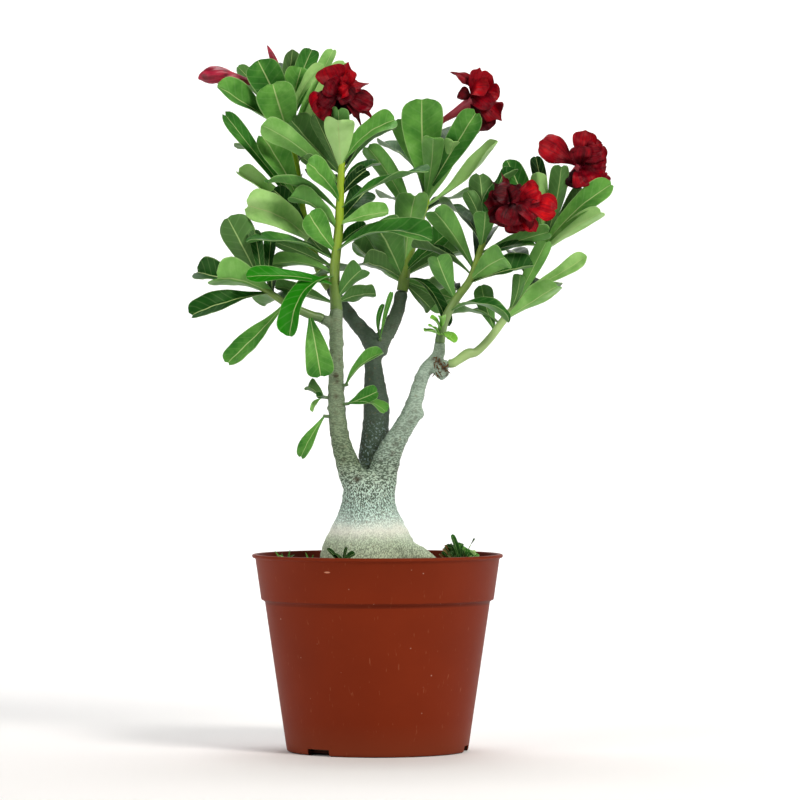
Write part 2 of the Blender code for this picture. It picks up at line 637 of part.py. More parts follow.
def build_soil():
    def heaped(turn, radius, height):
        if height < SOIL_LEVEL - 20:
            return radius, height
        return radius, soil_height(radius * math.cos(turn), radius * math.sin(turn))

    side = POT_WALL + GAP
    edge = COLLAR_FOOT_RADIUS + (COLLAR_RADIUS - COLLAR_FOOT_RADIUS) * (SOIL_LEVEL - COLLAR_FOOT) / (
        POT_HEIGHT - LIP_DEPTH - COLLAR_FOOT
    )
    profile = [
        (0, POT_FLOOR + GAP), (FOOT_RADIUS - 5.6, POT_FLOOR + GAP), (FOOT_RADIUS - side - 0.4, 5),
        (BODY_TOP_RADIUS - side - 0.5, BODY_TOP + 0.8), (COLLAR_FOOT_RADIUS - side - 0.6, COLLAR_FOOT + 2.2),
        (edge - side - 1.2, SOIL_LEVEL), (80, SOIL_LEVEL), (54, SOIL_LEVEL), (0, SOIL_LEVEL),
    ]
    soil = make("soil", turned_mesh(profile, SOIL_SIDES, heaped))
    holes = [make("hole", caudex_body(GAP)), make("hole", tube_mesh(smooth_path(BUTTRESS, 1), WOODY_SIDES, GAP))]
    for _, (x, y), _ in WEEDS:
        path = [Vector((x, y, z, WEED_RADIUS + GAP)) for z in (SOIL_LEVEL - WEED_DEPTH - GAP, SOIL_LEVEL + 12)]
        holes.append(make("hole", tube_mesh(path, 6)))
    combine(soil, holes, "DIFFERENCE")
    largest_body(soil)
    finish(soil, material("potting soil", "#4a3526", 0.95), 40)
    return soil


def petal_rows(base, axis, outward, length, width, lean, count, draw):
    """Rows along a petal that leans out from the bloom's axis, with a rolled tip and waved edges."""
    angle = math.radians(lean)
    way = axis * math.cos(angle) + outward * math.sin(angle)
    back = axis * math.sin(angle) - outward * math.cos(angle)
    side = way.cross(back).normalized()
    twist = math.radians(PETAL_TWIST)
    side, back = side * math.cos(twist) + back * math.sin(twist), back * math.cos(twist) - side * math.sin(twist)
    curl = draw.uniform(-0.22, 0.12)
    sway = draw.uniform(-0.2, 0.2)
    rows = []
    for row in range(count):
        t = row / (count - 1)
        middle = base + way * (length * t) + back * (length * (curl * t**2 + 0.12 * t)) + side * (sway * length * t**2)
        half = width / 2 * (0.12 + 0.88 * math.sin(2.5 * t) ** 0.7)
        wave = draw.uniform(0.1, 0.34) * half
        drop = draw.uniform(-0.1, 0.28) * half
        rows.append((middle - side * half + back * wave, middle, middle + side * half + back * drop, back))
    return rows


def bloom_petals(tube, way, seed):
    draw = random.Random(seed)
    axis = Vector(way).normalized()
    across = axis.orthogonal().normalized()
    upright = axis.cross(across)
    throat = Vector(tube[-1][:3])
    petals = []
    for layer, (count, length, width, lean, rows) in enumerate(BLOOM_LAYERS):
        for index in range(count):
            turn = 2 * math.pi * (index + 0.5 * layer + draw.uniform(-0.12, 0.12)) / count
            outward = across * math.cos(turn) + upright * math.sin(turn)
            base = throat - axis * (2 + 1.5 * layer) + outward * 0.6
            reach = length * draw.uniform(0.88, 1.1)
            breadth = width * draw.uniform(0.9, 1.15)
            leaning = lean + draw.uniform(-9, 9)
            petals.append(petal_rows(base, axis, outward, reach, breadth, leaning, rows, draw))
    return petals


def build_blooms(around, colour):
    for name, shoot, tube, way, seed, standing in BLOOMS:
        path = continued(shoot.stalks[0], tube)
        petals = bloom_petals(tube, way, seed)
        throat = Vector(tube[-1][:3]) - Vector(way).normalized() * 2
        petals += [leaf_rows(*blade, PETAL_OUTLINE) for blade in rooted_leaves(throat, standing)]
        shapes = [blade_mesh(rows, PETAL_THICKNESS) for rows in petals]
        bloom = make(name, tube_mesh(path, 6))
        around.add(name, tube_mesh(path, 6, 1))
        for shape in shapes:
            around.add(name, shape)
        combine(bloom, [make("petal", shape) for shape in shapes])
        largest_body(bloom)
        finish(bloom, colour, 40)
    for name, stalk, tube in BUDS:
        path = continued(UPPER_LEFT.stalks[stalk], tube)
        make(name, tube_mesh(path, 8), colour, 50)
        around.add(name, tube_mesh(path, 6, 1))


def build_shoots(around, colour):
    for shoot in SHOOTS:
        around.add(shoot.name, tube_mesh(shoot.stem, 6, LEAF_CLEARANCE))
        for stalk in shoot.stalks:
            around.add(shoot.name, tube_mesh(stalk, 6, LEAF_CLEARANCE))
    for shoot in SHOOTS:
        for height, tip, width, face, bow in shoot.leaves:
            root = point_at_height(shoot.stem, height)
            place_leaf(shoot, around, root, Vector(tip), width, facing(face), bow)
    draw = random.Random(SPIRAL_SEED)
    for shoot in SHOOTS:
        for root, tip, width, up, bow in spiral_leaves(shoot, draw):
            place_leaf(shoot, around, root, tip, width, up, bow)
    for shoot in SHOOTS:
        piece = make(shoot.name, tube_mesh(shoot.stem, shoot.sides))
        parts = [make("stalk", tube_mesh(stalk, 6)) for stalk in shoot.stalks]
        parts += [leaf_piece(blade) for blade in shoot.blades]
        combine(piece, parts)
        largest_body(piece)
        finish(piece, colour, 35)


def build_sprouts(around, colour):
    for name, seat, way, radius, leaves in SPROUTS:
        outward = Vector(way).normalized()
        reaches = (radius - SOCKET_DEPTH, radius + 1, radius + SPROUT_REACH)
        path = [Vector((*(Vector(seat) + outward * reach), SPROUT_RADIUS)) for reach in reaches]
        sprout = make(name, tube_mesh(path, 6))
        blades = rooted_leaves(path[-1].xyz - outward * 1.2, leaves)
        for blade in blades:
            around.add(name, guard(*blade, 0.1))
        combine(sprout, [leaf_piece(blade) for blade in blades])
        largest_body(sprout)
        finish(sprout, colour, 35)


def build_weeds(colour):
    for name, (x, y), leaves in WEEDS:
        path = [Vector((x, y, z, WEED_RADIUS)) for z in (SOIL_LEVEL - WEED_DEPTH, SOIL_LEVEL + 4)]
        weed = make(name, tube_mesh(path, 6))
        blades = rooted_leaves(path[-1].xyz - Vector((0, 0, 1.5)), leaves)
        combine(weed, [leaf_piece(blade) for blade in blades])
        largest_body(weed)
        finish(weed, colour, 35)


def main():
    for old in list(bpy.data.objects):
        bpy.data.objects.remove(old)
    around = Surroundings()
    build_pot()
    caudex = build_caudex()
    points = [vert.co / MM for vert in caudex.data.vertices]
    around.add("caudex", (points, [tuple(face.vertices) for face in caudex.data.polygons]))
    build_soil()
    build_blooms(around, material("crimson petal", "#8a0010", 0.55))
    build_sprouts(around, material("young leaf", "#5f9a3c", 0.5))
    build_shoots(around, material("waxy leaf", "#4f8a3a", 0.45))
    build_weeds(material("weed leaf", "#2f5a24", 0.6))


main()
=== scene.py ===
"""The looks of a potted desert rose, built round its solids."""

import math
import random

import bmesh
import bpy
import numpy as np
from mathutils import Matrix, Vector, noise
from mathutils.bvhtree import BVHTree


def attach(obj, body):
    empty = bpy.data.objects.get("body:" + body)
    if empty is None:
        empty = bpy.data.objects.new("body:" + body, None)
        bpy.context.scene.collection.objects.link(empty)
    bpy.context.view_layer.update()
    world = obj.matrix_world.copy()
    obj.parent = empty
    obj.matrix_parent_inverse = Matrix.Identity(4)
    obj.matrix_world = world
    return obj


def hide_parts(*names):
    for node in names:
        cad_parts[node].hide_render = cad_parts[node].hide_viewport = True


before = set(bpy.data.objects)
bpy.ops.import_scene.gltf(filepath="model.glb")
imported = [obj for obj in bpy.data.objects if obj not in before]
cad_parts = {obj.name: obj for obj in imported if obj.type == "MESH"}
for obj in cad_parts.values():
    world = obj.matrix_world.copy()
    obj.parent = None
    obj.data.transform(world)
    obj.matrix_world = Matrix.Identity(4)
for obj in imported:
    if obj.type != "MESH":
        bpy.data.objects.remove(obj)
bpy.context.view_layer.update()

# Setting. The photograph looks level from 3.9 m in front at the middle of the plant, in a white studio.
# A large soft lamp stands above at the right and a weaker one at the left, smaller ones low on each side
# and over the crown, and two light the pale paper that runs up into the wall behind.
MM = 0.001


def linear(colour):
    """An sRGB hex colour as linear red, green, blue and alpha."""
    parts = [int(colour[i : i + 2], 16) / 255 for i in (1, 3, 5)]
    return (*[part / 12.92 if part <= 0.04045 else ((part + 0.055) / 1.055) ** 2.4 for part in parts], 1)


def feed(tree, node, inputs):
    """Links or sets inputs, given by key or in order. A node stands for the first of its live outputs."""
    for key, value in inputs.items() if isinstance(inputs, dict) else enumerate(inputs):
        if isinstance(value, bpy.types.Node):
            value = next(socket for socket in value.outputs if socket.enabled)
        if isinstance(value, bpy.types.NodeSocket):
            tree.links.new(value, node.inputs[key])
        else:
            node.inputs[key].default_value = value


def add(tree, kind, inputs=(), **settings):
    """A node with its settings and its inputs. A kind of shader node goes by its short name."""
    made = tree.nodes.new(kind if kind.startswith(("Geometry", "Function")) else "ShaderNode" + kind)
    for key, value in settings.items():
        setattr(made, key, value)
    feed(tree, made, inputs)
    return made


def finish_material(name, **values):
    """A Principled material with its plain values, its tree and shader, and the place on the piece."""
    made = bpy.data.materials.new(name)
    made.use_nodes = True
    tree = made.node_tree
    shader = tree.nodes["Principled BSDF"]
    feed(tree, shader, {key.replace("_", " "): value for key, value in values.items()})
    return made, tree, shader, add(tree, "TexCoord").outputs["Object"]


def new_piece(name, data):
    piece = bpy.data.objects.new(name, data)
    bpy.context.scene.collection.objects.link(piece)
    return piece


camera = new_piece("camera", bpy.data.cameras.new("camera"))
camera.location = (0.02025, -3.906, 0.3155)
camera.rotation_euler = (math.pi / 2, 0, 0)
camera.data.lens = 195.3
camera.data.sensor_width = 36
bpy.context.scene.camera = camera
bpy.context.scene.view_settings.view_transform = "Standard"

for name, place, aim, size, watts, colour in (
    ("key lamp", (1.6, -2.0, 2.1), (0, 0, 0.4), 0.9, 70, "#fff9f2"),
    ("fill lamp", (-2.2, -2.0, 1.2), (0, 0, 0.35), 1.6, 32, "#fffaf6"),
    ("right lamp", (2.6, 0.1, 0.5), (0, 0, 0.15), 0.8, 12, "#fff6ec"),
    ("left lamp", (-2.6, 0.1, 0.5), (0, 0, 0.15), 0.8, 10, "#fff6ec"),
    ("top lamp", (0.1, 0.7, 2.4), (0, 0, 0.45), 1.0, 16, "#ffffff"),
    ("back lamp", (0, 1.3, 2.6), (0, 2.6, 0.9), 2.5, 40, "#ffffff"),
    ("wall lamp", (0, 3.2, 2.6), (0, 4.8, 0.9), 2.5, 60, "#ffffff"),
):
    lamp = new_piece(name, bpy.data.lights.new(name, "AREA"))
    lamp.location = place
    lamp.rotation_euler = (Vector(aim) - Vector(place)).to_track_quat("-Z", "Y").to_euler()
    lamp.data.size = size
    lamp.data.energy = watts
    lamp.data.color = linear(colour)[:3]
world = bpy.data.worlds.new("studio")
world.use_nodes = True
feed(world.node_tree, world.node_tree.nodes["Background"], {"Color": linear("#ffffff"), "Strength": 0.06})
bpy.context.scene.world = world

FLOOR_WIDTH, FLOOR_FRONT = 12, -7.5
WALL_BACK, WALL_TOP = 4.8, 5
BEND_RADIUS, BEND_STEPS = 1.2, 12
sweep = [(FLOOR_FRONT, 0), (WALL_BACK - BEND_RADIUS, 0)]
for step in range(1, BEND_STEPS + 1):
    turn = math.pi / 2 * step / BEND_STEPS
    sweep.append((WALL_BACK - BEND_RADIUS + BEND_RADIUS * math.sin(turn), BEND_RADIUS * (1 - math.cos(turn))))
sweep.append((WALL_BACK, WALL_TOP))
floor_mesh = bpy.data.meshes.new("studio_floor")
floor_mesh.from_pydata(
    [(side * FLOOR_WIDTH / 2, y, z) for y, z in sweep for side in (-1, 1)],
    [],
    [(2 * i, 2 * i + 1, 2 * i + 3, 2 * i + 2) for i in range(len(sweep) - 1)],
)
floor_mesh.shade_smooth()
# Paper, pale and quite matt.
floor_mesh.materials.append(finish_material("matt pale paper", Base_Color=linear("#f7f7f7"), Roughness=0.9)[0])
floor = new_piece("studio_floor", floor_mesh)

# Pot. A round 9 inch nursery pot, injection moulded in terracotta-coloured polypropylene: a thin body
# that tapers to its foot, a stepped collar with a rolled lip, and drain slots where the foot turns under.
POT_PROFILE = (
    (0, 2.6), (70, 2.6), (76.5, 1.8), (77.2, 0.4), (80, 0), (81.4, 1.2), (82, 4), (101, 133.2), (101.2, 134.3),
    (102.6, 135.6), (104.2, 136.2), (104.7, 137.6), (109.7, 172.6), (110.6, 173.6), (112.2, 174), (112.75, 174.8),
    (112.75, 175.9), (112.2, 176.7), (111.2, 177), (109.2, 177), (108.3, 176.4), (107.9, 175.4), (102.9, 139.6),
    (102.2, 138.4), (100.6, 137.6), (99.4, 136.4), (99.1, 134.8), (80, 6.2), (78.6, 4.6), (76.4, 4), (0, 4),
)
POT_TURNS = 144
SLOT_TURNS = (-40, 80, 200)
SLOT_SIZE = (25 * MM, 14 * MM, 12 * MM)
SLOT_OUT = 80.8 * MM


def tree_with(name, sockets):
    """A new tree of geometry nodes with named inputs, and its group input and output."""
    tree = bpy.data.node_groups.new(name, "GeometryNodeTree")
    tree.interface.new_socket("Geometry", in_out="OUTPUT", socket_type="NodeSocketGeometry")
    for label, kind in (("Geometry", "Geometry"), *sockets):
        tree.interface.new_socket(label, in_out="INPUT", socket_type="NodeSocket" + kind)
    return tree, tree.nodes.new("NodeGroupInput"), tree.nodes.new("NodeGroupOutput")


def bake(piece):
    """Keeps a piece's mesh as its modifiers leave it, and takes them off."""
    bpy.context.view_layer.update()
    mesh = bpy.data.meshes.new_from_object(piece.evaluated_get(bpy.context.evaluated_depsgraph_get()))
    piece.modifiers.clear()
    old, piece.data = piece.data, mesh
    bpy.data.meshes.remove(old)
    mesh.name = piece.name


def grown(piece, tree, values):
    """Runs a tree on a piece, with its inputs set by identifier, and keeps the result as a plain mesh."""
    modifier = piece.modifiers.new(tree.name, "NODES")
    modifier.node_group = tree
    for item in tree.interface.items_tree:
        if item.in_out == "INPUT" and item.name in values:
            modifier[item.identifier] = values[item.name]
    bake(piece)
    return piece


turning, given, out = tree_with("turned_body", (("Turns", "Int"), ("Material", "Material")))
axis = add(turning, "GeometryNodeCurvePrimitiveCircle", {"Resolution": given.outputs["Turns"], "Radius": 0.0001})
section = add(turning, "GeometryNodeMeshToCurve", {"Mesh": given.outputs["Geometry"]})
body = add(turning, "GeometryNodeCurveToMesh", {"Curve": axis, "Profile Curve": section})
merged = add(turning, "GeometryNodeMergeByDistance", {"Geometry": body, "Distance": 0.00025})
smooth = add(turning, "GeometryNodeSetShadeSmooth", (merged,))
real = add(turning, "GeometryNodeRealizeInstances", (smooth,))
coated = add(turning, "GeometryNodeSetMaterial", {"Geometry": real, "Material": given.outputs["Material"]})
feed(turning, out, (coated,))


def coat(tree, shader, base, layers, height=None, strength=0, distance=0):
    """Lays colours over the base, each by its share, and raises the surface by a height."""
    for share, colour in layers:
        base = add(tree, "Mix", {0: share, 6: base, 7: linear(colour)}, data_type="RGBA")
    feed(tree, shader, {"Base Color": base})
    if height is not None:
        relief = add(tree, "Bump", {"Height": height, "Strength": strength, "Distance": distance})
        feed(tree, shader, {"Normal": relief})


# Polypropylene, moulded: a soft sheen, faint upright draw marks, paler towards the foot and pale scuffs.
# Painted shade darkens it under the collar, inside the wall and in the drain slots.
pot_plastic, tree, shader, place = finish_material(
    "moulded terracotta polypropylene", Roughness=0.5, Specular_IOR_Level=0.08, IOR=1.49,
    Specular_Tint=linear("#e2ab98"),
)
height = add(tree, "SeparateXYZ", (place,)).outputs[2]
cloud = add(tree, "TexNoise", {"Vector": place, "Scale": 14, "Detail": 4, "Roughness": 0.6})
stretch = add(tree, "Mapping", {"Vector": place, "Scale": (1, 1, 0.22)})
mark_noise = add(tree, "TexNoise", {"Vector": stretch, "Scale": 420, "Detail": 2})
marks = add(tree, "MapRange", (mark_noise, 0.68, 0.78, 0, 0.35))
speck_cells = add(tree, "TexVoronoi", {"Vector": place, "Scale": 80, "Randomness": 1})
specks = add(tree, "MapRange", (speck_cells, 0.06, 0.04))
speck_strength = add(tree, "MapRange", (speck_cells.outputs["Color"], 0.45, 0.8, 0, 0.5))
specks = add(tree, "Math", (specks, speck_strength), operation="MULTIPLY")
# The lowest 30 mm of the pot turn paler.
paler_low = add(tree, "MapRange", (height, 0.03, 0, 0, 0.3))
# Painted shade: a dark band under the collar step.
step_shade = add(tree, "Math", (height, 0.1345, 0.002), operation="COMPARE")
step_shade = add(tree, "Math", (step_shade, 0.42), operation="MULTIPLY")
flat = add(tree, "Mapping", {"Vector": place, "Scale": (1, 1, 4)})
from_fleck = add(tree, "VectorMath", (flat, (-0.0437, -0.0994, 0.657)), operation="DISTANCE")
fleck = add(tree, "MapRange", (from_fleck, 0.0034, 0.002, 0, 0.8))
# Painted shade: the inner face of the wall above the collar step is darkened.
around = add(tree, "VectorMath", (place, (1, 1, 0)), operation="MULTIPLY")
radius = add(tree, "VectorMath", (around,), operation="LENGTH")
wall = add(tree, "Math", (height, -0.143, radius), operation="MULTIPLY_ADD")
inside_shade = add(tree, "MapRange", (wall, 0.0846, 0.0836, 0, 0.75))
above = add(tree, "MapRange", (height, 0.1378, 0.1388))
inside_shade = add(tree, "Math", (inside_shade, above), operation="MULTIPLY")
# Painted shade: the wall is darkened to near black in and behind the drain slots.
slot_shade = add(tree, "MapRange", (radius, 0.0812, 0.0806, 0, 0.9))
at_base = add(tree, "MapRange", (height, 0.009, 0.008))
slot_shade = add(tree, "Math", (slot_shade, at_base), operation="MULTIPLY")
layers = (
    (cloud, "#7e2e16"), (marks, "#a5664c"), (specks, "#d8b9a6"), (paler_low, "#7c452f"), (step_shade, "#4c1c14"),
    (fleck, "#d99a7c"), (inside_shade, "#43160f"), (slot_shade, "#140c0a"),
)
grain = add(tree, "TexNoise", {"Vector": place, "Scale": 900, "Detail": 2})
coat(tree, shader, linear("#6c2613"), layers, grain, 0.12, 0.0004)

# The profile is turned round the upright axis, then blocks cut the slots through the corner of the foot.
profile_mesh = bpy.data.meshes.new("pot_profile")
profile_mesh.from_pydata(
    [(radius * MM, -height * MM, 0) for radius, height in POT_PROFILE],
    [(i, i + 1) for i in range(len(POT_PROFILE) - 1)],
    [],
)
pot = grown(new_piece("nursery_pot", profile_mesh), turning, {"Turns": POT_TURNS, "Material": pot_plastic})
shape = bmesh.new()
shape.from_mesh(pot.data)
bmesh.ops.recalc_face_normals(shape, faces=shape.faces)
shape.to_mesh(pot.data)
shape.free()
shape = bmesh.new()
for slot_turn in SLOT_TURNS:
    block = bmesh.ops.create_cube(shape, size=1)["verts"]
    bmesh.ops.scale(shape, verts=block, vec=SLOT_SIZE)
    bmesh.ops.translate(shape, verts=block, vec=(0, -SLOT_OUT, 0))
    spin = math.radians(slot_turn)
    for vert in block:
        x, y = vert.co.x, vert.co.y
        vert.co.x = x * math.cos(spin) - y * math.sin(spin)
        vert.co.y = x * math.sin(spin) + y * math.cos(spin)
slot_cutter = new_piece("slot_cutter", bpy.data.meshes.new("slot_cutter"))
shape.to_mesh(slot_cutter.data)
shape.free()
cut = pot.modifiers.new("drain slots", "BOOLEAN")
cut.operation, cut.solver, cut.object = "DIFFERENCE", "EXACT", slot_cutter
bake(pot)
bpy.data.objects.remove(slot_cutter)
pot.data.shade_smooth()
pot.data.set_sharp_from_angle(angle=math.radians(50))
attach(pot, "root")
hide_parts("pot")

# Caudex and trunks. The swollen base grows into three upright trunks: smooth succulent bark, grey-green
# above and cream to tan low down, finely wrinkled, with leaf scars, knots and a root ridge at the front.
CAUDEX_X = -8
CAUDEX = (
    (78, 7), (105, 25), (130, 40), (148, 46), (163, 47), (174, 44.5), (183, 42), (195, 36.7), (207, 30.5),
    (216, 26.2), (226, 23.6), (236, 22), (246, 20), (253, 13),
)
SWELLING_SIDES = 72
LIMB_SIDES = 24
LIMBS = {
    "buttress": ((14, -16, 186, 13), (28, -22, 178, 11.5), (40, -26, 172, 10.5), (50, -29, 163, 9), (53, -31, 150, 6)),
    "left": (
        (-15, -3, 226, 12), (-21, -6, 242, 11.5), (-26, -9, 256, 10.5), (-31, -10, 271, 9.4), (-34, -11, 284, 8.5),
        (-36, -12, 302, 8), (-37, -12, 320, 7.5), (-37, -13, 338, 6.9), (-37, -13, 359, 6.4), (-37, -14, 378, 6.2),
        (-37, -14, 396, 6),
    ),
    "middle": (
        (-5, 8, 230, 16), (-5, 12, 252, 13), (-5, 14, 266, 12.3), (-2, 16, 288, 12), (-1, 18, 311, 11.6),
        (-3, 20, 333, 9.3), (-4, 22, 351, 7.6), (-1, 23, 364, 8.8), (-1, 23, 372, 6),
    ),
    "right": (
        (2, 0, 232, 14), (5, -4, 250, 13), (10, -7, 266, 11.5), (18, -9, 282, 9.6), (28, -11, 299, 8.6),
        (34, -13, 316, 7.2), (37, -14, 327, 6.4), (43, -16, 342, 6.2), (52, -18, 350, 6.6), (55, -19, 350, 6),
    ),
    "limb_left": ((-37, -13, 380, 5), (-43, -15, 385, 4.8), (-49, -16, 388, 4.5)),
    "arm_left": (
        (-2, 22, 358, 8), (-7, 24, 370, 7.6), (-14, 25, 379, 7.1), (-25, 26, 392, 6.3), (-34, 27, 405, 5.6),
        (-43, 28, 417, 5),
    ),
    "arm_right": ((0, 22, 358, 8), (5, 24, 371, 7.4), (11, 25, 380, 6.9), (18, 27, 396, 6.2), (22, 29, 414, 5.5)),
    "stump_up": ((51, -17, 347, 6.2), (55, -19, 358, 5.6), (56, -20, 367, 4.8)),
    "stump_out": ((51, -17, 349, 6), (58, -19, 347, 4.6), (64, -20, 348, 4.1)),
    "stump_end": ((50, -16, 350, 6.5), (56, -19, 342, 6.2), (61, -21, 336, 5.2)),
}


def smooth_path(points, steps):
    """A Catmull-Rom path through points of x, y, z and radius, with this many steps in each span."""
    points = [Vector(point) for point in points]
    ends = [2 * points[0] - points[1], *points, 2 * points[-1] - points[-2]]
    path = []
    for before, start, end, after in zip(ends, ends[1:], ends[2:], ends[3:]):
        for step in range(steps):
            t = step / steps
            a = (end - before) * t
            b = (2 * before - 5 * start + 4 * end - after) * t**2
            c = (3 * start - before - 3 * end + after) * t**3
            path.append(0.5 * (2 * start + a + b + c))
    return [*path, points[-1]]


def bridge(shape, rings):
    """Closes rings of points into one skin, with a flat cap at each end."""
    for low_ring, high_ring in zip(rings, rings[1:]):
        for step in range(len(low_ring)):
            after = (step + 1) % len(low_ring)
            shape.faces.new((low_ring[step], low_ring[after], high_ring[after], high_ring[step]))
    shape.faces.new(reversed(rings[0]))
    shape.faces.new(rings[-1])


def tube(shape, path, sides):
    """Adds a closed tube along x, y, z and radius to a mesh in millimetres."""
    turns = [2 * math.pi * step / sides for step in range(sides)]
    side = None
    rings = []
    for index, spot in enumerate(path):
        before, after = path[max(index - 1, 0)].xyz, path[min(index + 1, len(path) - 1)].xyz
        tangent = (after - before).normalized()
        side = side or tangent.orthogonal().normalized()
        side = (side - tangent * side.dot(tangent)).normalized()
        across = tangent.cross(side)
        ways = (side * math.cos(turn) + across * math.sin(turn) for turn in turns)
        rings.append([shape.verts.new(spot.xyz + way * spot[3]) for way in ways])
    bridge(shape, rings)


def piece_from(name, shape):
    """A piece from a mesh in millimetres, which is given up."""
    bmesh.ops.scale(shape, verts=shape.verts, vec=(MM, MM, MM))
    piece = new_piece(name, bpy.data.meshes.new(name))
    shape.to_mesh(piece.data)
    shape.free()
    return piece


wood = bmesh.new()
for path in LIMBS.values():
    tube(wood, smooth_path(path, 5), LIMB_SIDES)
rings = []
for spot in smooth_path([(0, radius, height, 0) for height, radius in CAUDEX], 4):
    ring = []
    for step in range(SWELLING_SIDES):
        turn = 2 * math.pi * step / SWELLING_SIDES
        lobes = math.sin(3 * turn + 0.6) + 0.6 * math.sin(5 * turn + spot.z * 0.02)
        radius = spot.y * (1 + 0.035 * lobes)
        ring.append(wood.verts.new((CAUDEX_X + radius * math.cos(turn), radius * math.sin(turn), spot.z)))
    rings.append(ring)
bridge(wood, rings)
caudex = piece_from("caudex_and_trunks", wood)
fuse = caudex.modifiers.new("fuse", "REMESH")
fuse.mode, fuse.voxel_size = "VOXEL", 1.1 * MM
soften = caudex.modifiers.new("soften", "SMOOTH")
soften.factor, soften.iterations = 0.5, 10
bake(caudex)
fused = caudex.data

# Leaf scars wind up each trunk: a low corky lip round a shallow dent, about 5 mm across.
GOLDEN_ANGLE = 137.5
scars = []
draw = random.Random(4)
for limb, first, last, count in (
    ("left", 262, 392, 26), ("middle", 262, 366, 20), ("right", 258, 350, 20), ("arm_left", 372, 415, 8),
    ("arm_right", 372, 412, 8),
):
    path = smooth_path(LIMBS[limb], 6)
    for index in range(count):
        z = first + (last - first) * (index + draw.uniform(-0.3, 0.3)) / count
        spot = min(path, key=lambda point: abs(point.z - z))
        turn = math.radians(GOLDEN_ANGLE * index + draw.uniform(-15, 15))
        outward = Vector((math.cos(turn), math.sin(turn), 0))
        scars.append((spot.xyz + outward * spot[3], draw.uniform(2.2, 3.2), draw.uniform(0.35, 0.75)))
# Knots and pits seen in the photograph: x and height, how wide, how far they stand out and how dark they
# are. Each is laid on the skin met there from the front, or on the nearest skin beside it.
KNOTS = (
    ((18, 262), 6, 1.4, 0.1), ((-37, 396), 4.5, 1.9, -0.6), ((40, 302), 6, 4, 0), ((-2, 367), 11, 2.2, -0.2),
    ((-37, 337), 2.4, 0.6, 1.1), ((-36, 332), 2.2, 0.5, 1.1), ((-37, 319), 2.6, 0.5, 1), ((-38, 304), 1.8, 0.3, 0.6),
    ((42, 335), 5, 1.2, 0.2), ((-18.5, 244.5), 3, -1, 1.3), ((-14, 247), 1.8, 0.8, 0.8), ((-24, 241), 1.6, 0.5, 0.7),
    ((30, 296), 3.6, 0.5, 0.6), ((34, 300), 2, 0.4, 0.5), ((16, 276), 3, 0.5, 0.6), ((3, 262), 2.2, 0.4, 0.5),
    ((55, 350), 3.6, 0.3, 1.4), ((60, 344), 3.4, -0.6, 1.4), ((62, 338), 2.4, 0, 1.3), ((50, 352), 2, 0.2, 1),
    ((20, 252), 3, 0.6, 0.5), ((-30, 262), 2, 0.4, 0.7), ((14, 268), 2.4, 0.4, 0.7), ((-31, 250), 2, 0.4, 0.5),
    ((-8, 255), 2.6, -0.6, 0.5), ((28, 270), 2.2, 0.5, 0.7), ((24, 288), 2, 0.4, 0.4), ((44, 322), 1.8, 0.4, 0.5),
)
skin = BVHTree.FromPolygons([vert.co / MM for vert in fused.vertices], [face.vertices for face in fused.polygons])
IN_FRONT = -200
TO_THE_BACK = (0, 1, 0)
# How pale each limb is, from the dark middle trunk to the right one.
TONES = {
    "buttress": 0.6, "left": 0.52, "middle": 0.08, "right": 0.9, "limb_left": 0.4, "arm_left": 0.1, "arm_right": 0.16,
    "stump_up": 0.75, "stump_out": 0.8, "stump_end": 0.85,
}
points, normals = (np.empty(len(fused.vertices) * 3, np.float32) for _ in range(2))
fused.vertices.foreach_get("co", points)
fused.vertex_normals.foreach_get("vector", normals)
points, normals = points.reshape(-1, 3) / MM, normals.reshape(-1, 3)
weights, pale = np.full(len(points), 1e-6), np.zeros(len(points))
for limb, tone in TONES.items():
    path = np.array([tuple(point) for point in smooth_path(LIMBS[limb], 3)])
    apart = np.full(len(points), 1e9)
    for spot in path:
        apart = np.minimum(apart, np.linalg.norm(points - spot[:3], axis=1) - spot[3])
    share = np.exp(-np.maximum(apart, -3) / 1.5)
    weights += share
    pale += share * tone
pale /= weights
# The swelling keeps one middle tone, and the trunks take on their own above it.
rise = np.clip((points[:, 2] - 236) / 26, 0, 1)
pale = 0.55 + (pale - 0.55) * rise
push, cork = np.zeros(len(points)), np.zeros(len(points))
for index, point in enumerate(points):
    x, y, z = (float(value) for value in point)
    trunk = min(max((z - 232) / 30, 0), 1)
    wrinkle = noise.noise(Vector((x * 0.32, y * 0.32, z * 0.06))) * 0.5
    pucker = noise.noise(Vector((x * 0.16, y * 0.16, z * 0.16 + 9))) * 0.9
    net = noise.noise(Vector((x * 0.9, y * 0.9, z * 0.28 + 3))) * 0.22
    rings_across = math.sin(z * 0.62 + 2 * noise.noise(Vector((x * 0.1, y * 0.1, z * 0.05)))) * 0.18 * trunk
    push[index] = (1 - 0.45 * trunk) * (wrinkle + pucker) + net + rings_across
for place_on, radius, swelling in scars:
    away = np.linalg.norm((points - np.array(place_on)) * (1, 1, 1.5), axis=1) / radius
    ring = np.exp(-((away - 0.8) ** 2) / 0.06)
    push += swelling * (ring - 0.5 * np.exp(-(away**2) / 0.18))
    cork += 0.55 * ring
for (knot_x, knot_z), radius, swelling, dark in KNOTS:
    place_on = skin.ray_cast((knot_x, IN_FRONT, knot_z), TO_THE_BACK)[0]
    place_on = place_on or skin.find_nearest((knot_x, -12, knot_z))[0]
    away = np.linalg.norm(points - np.array(place_on), axis=1) / radius
    push += swelling * np.exp(-(away**2) * 1.4)
    cork += dark * np.exp(-(away**2) * 1.2)
points += normals * push[:, None]
fused.vertices.foreach_set("co", (points * MM).astype(np.float32).reshape(-1))
fused.update()
fused.shade_smooth()
for label, values in (("pale", pale), ("cork", cork)):
    fused.attributes.new(label, "FLOAT", "POINT").data.foreach_set("value", values.astype(np.float32))


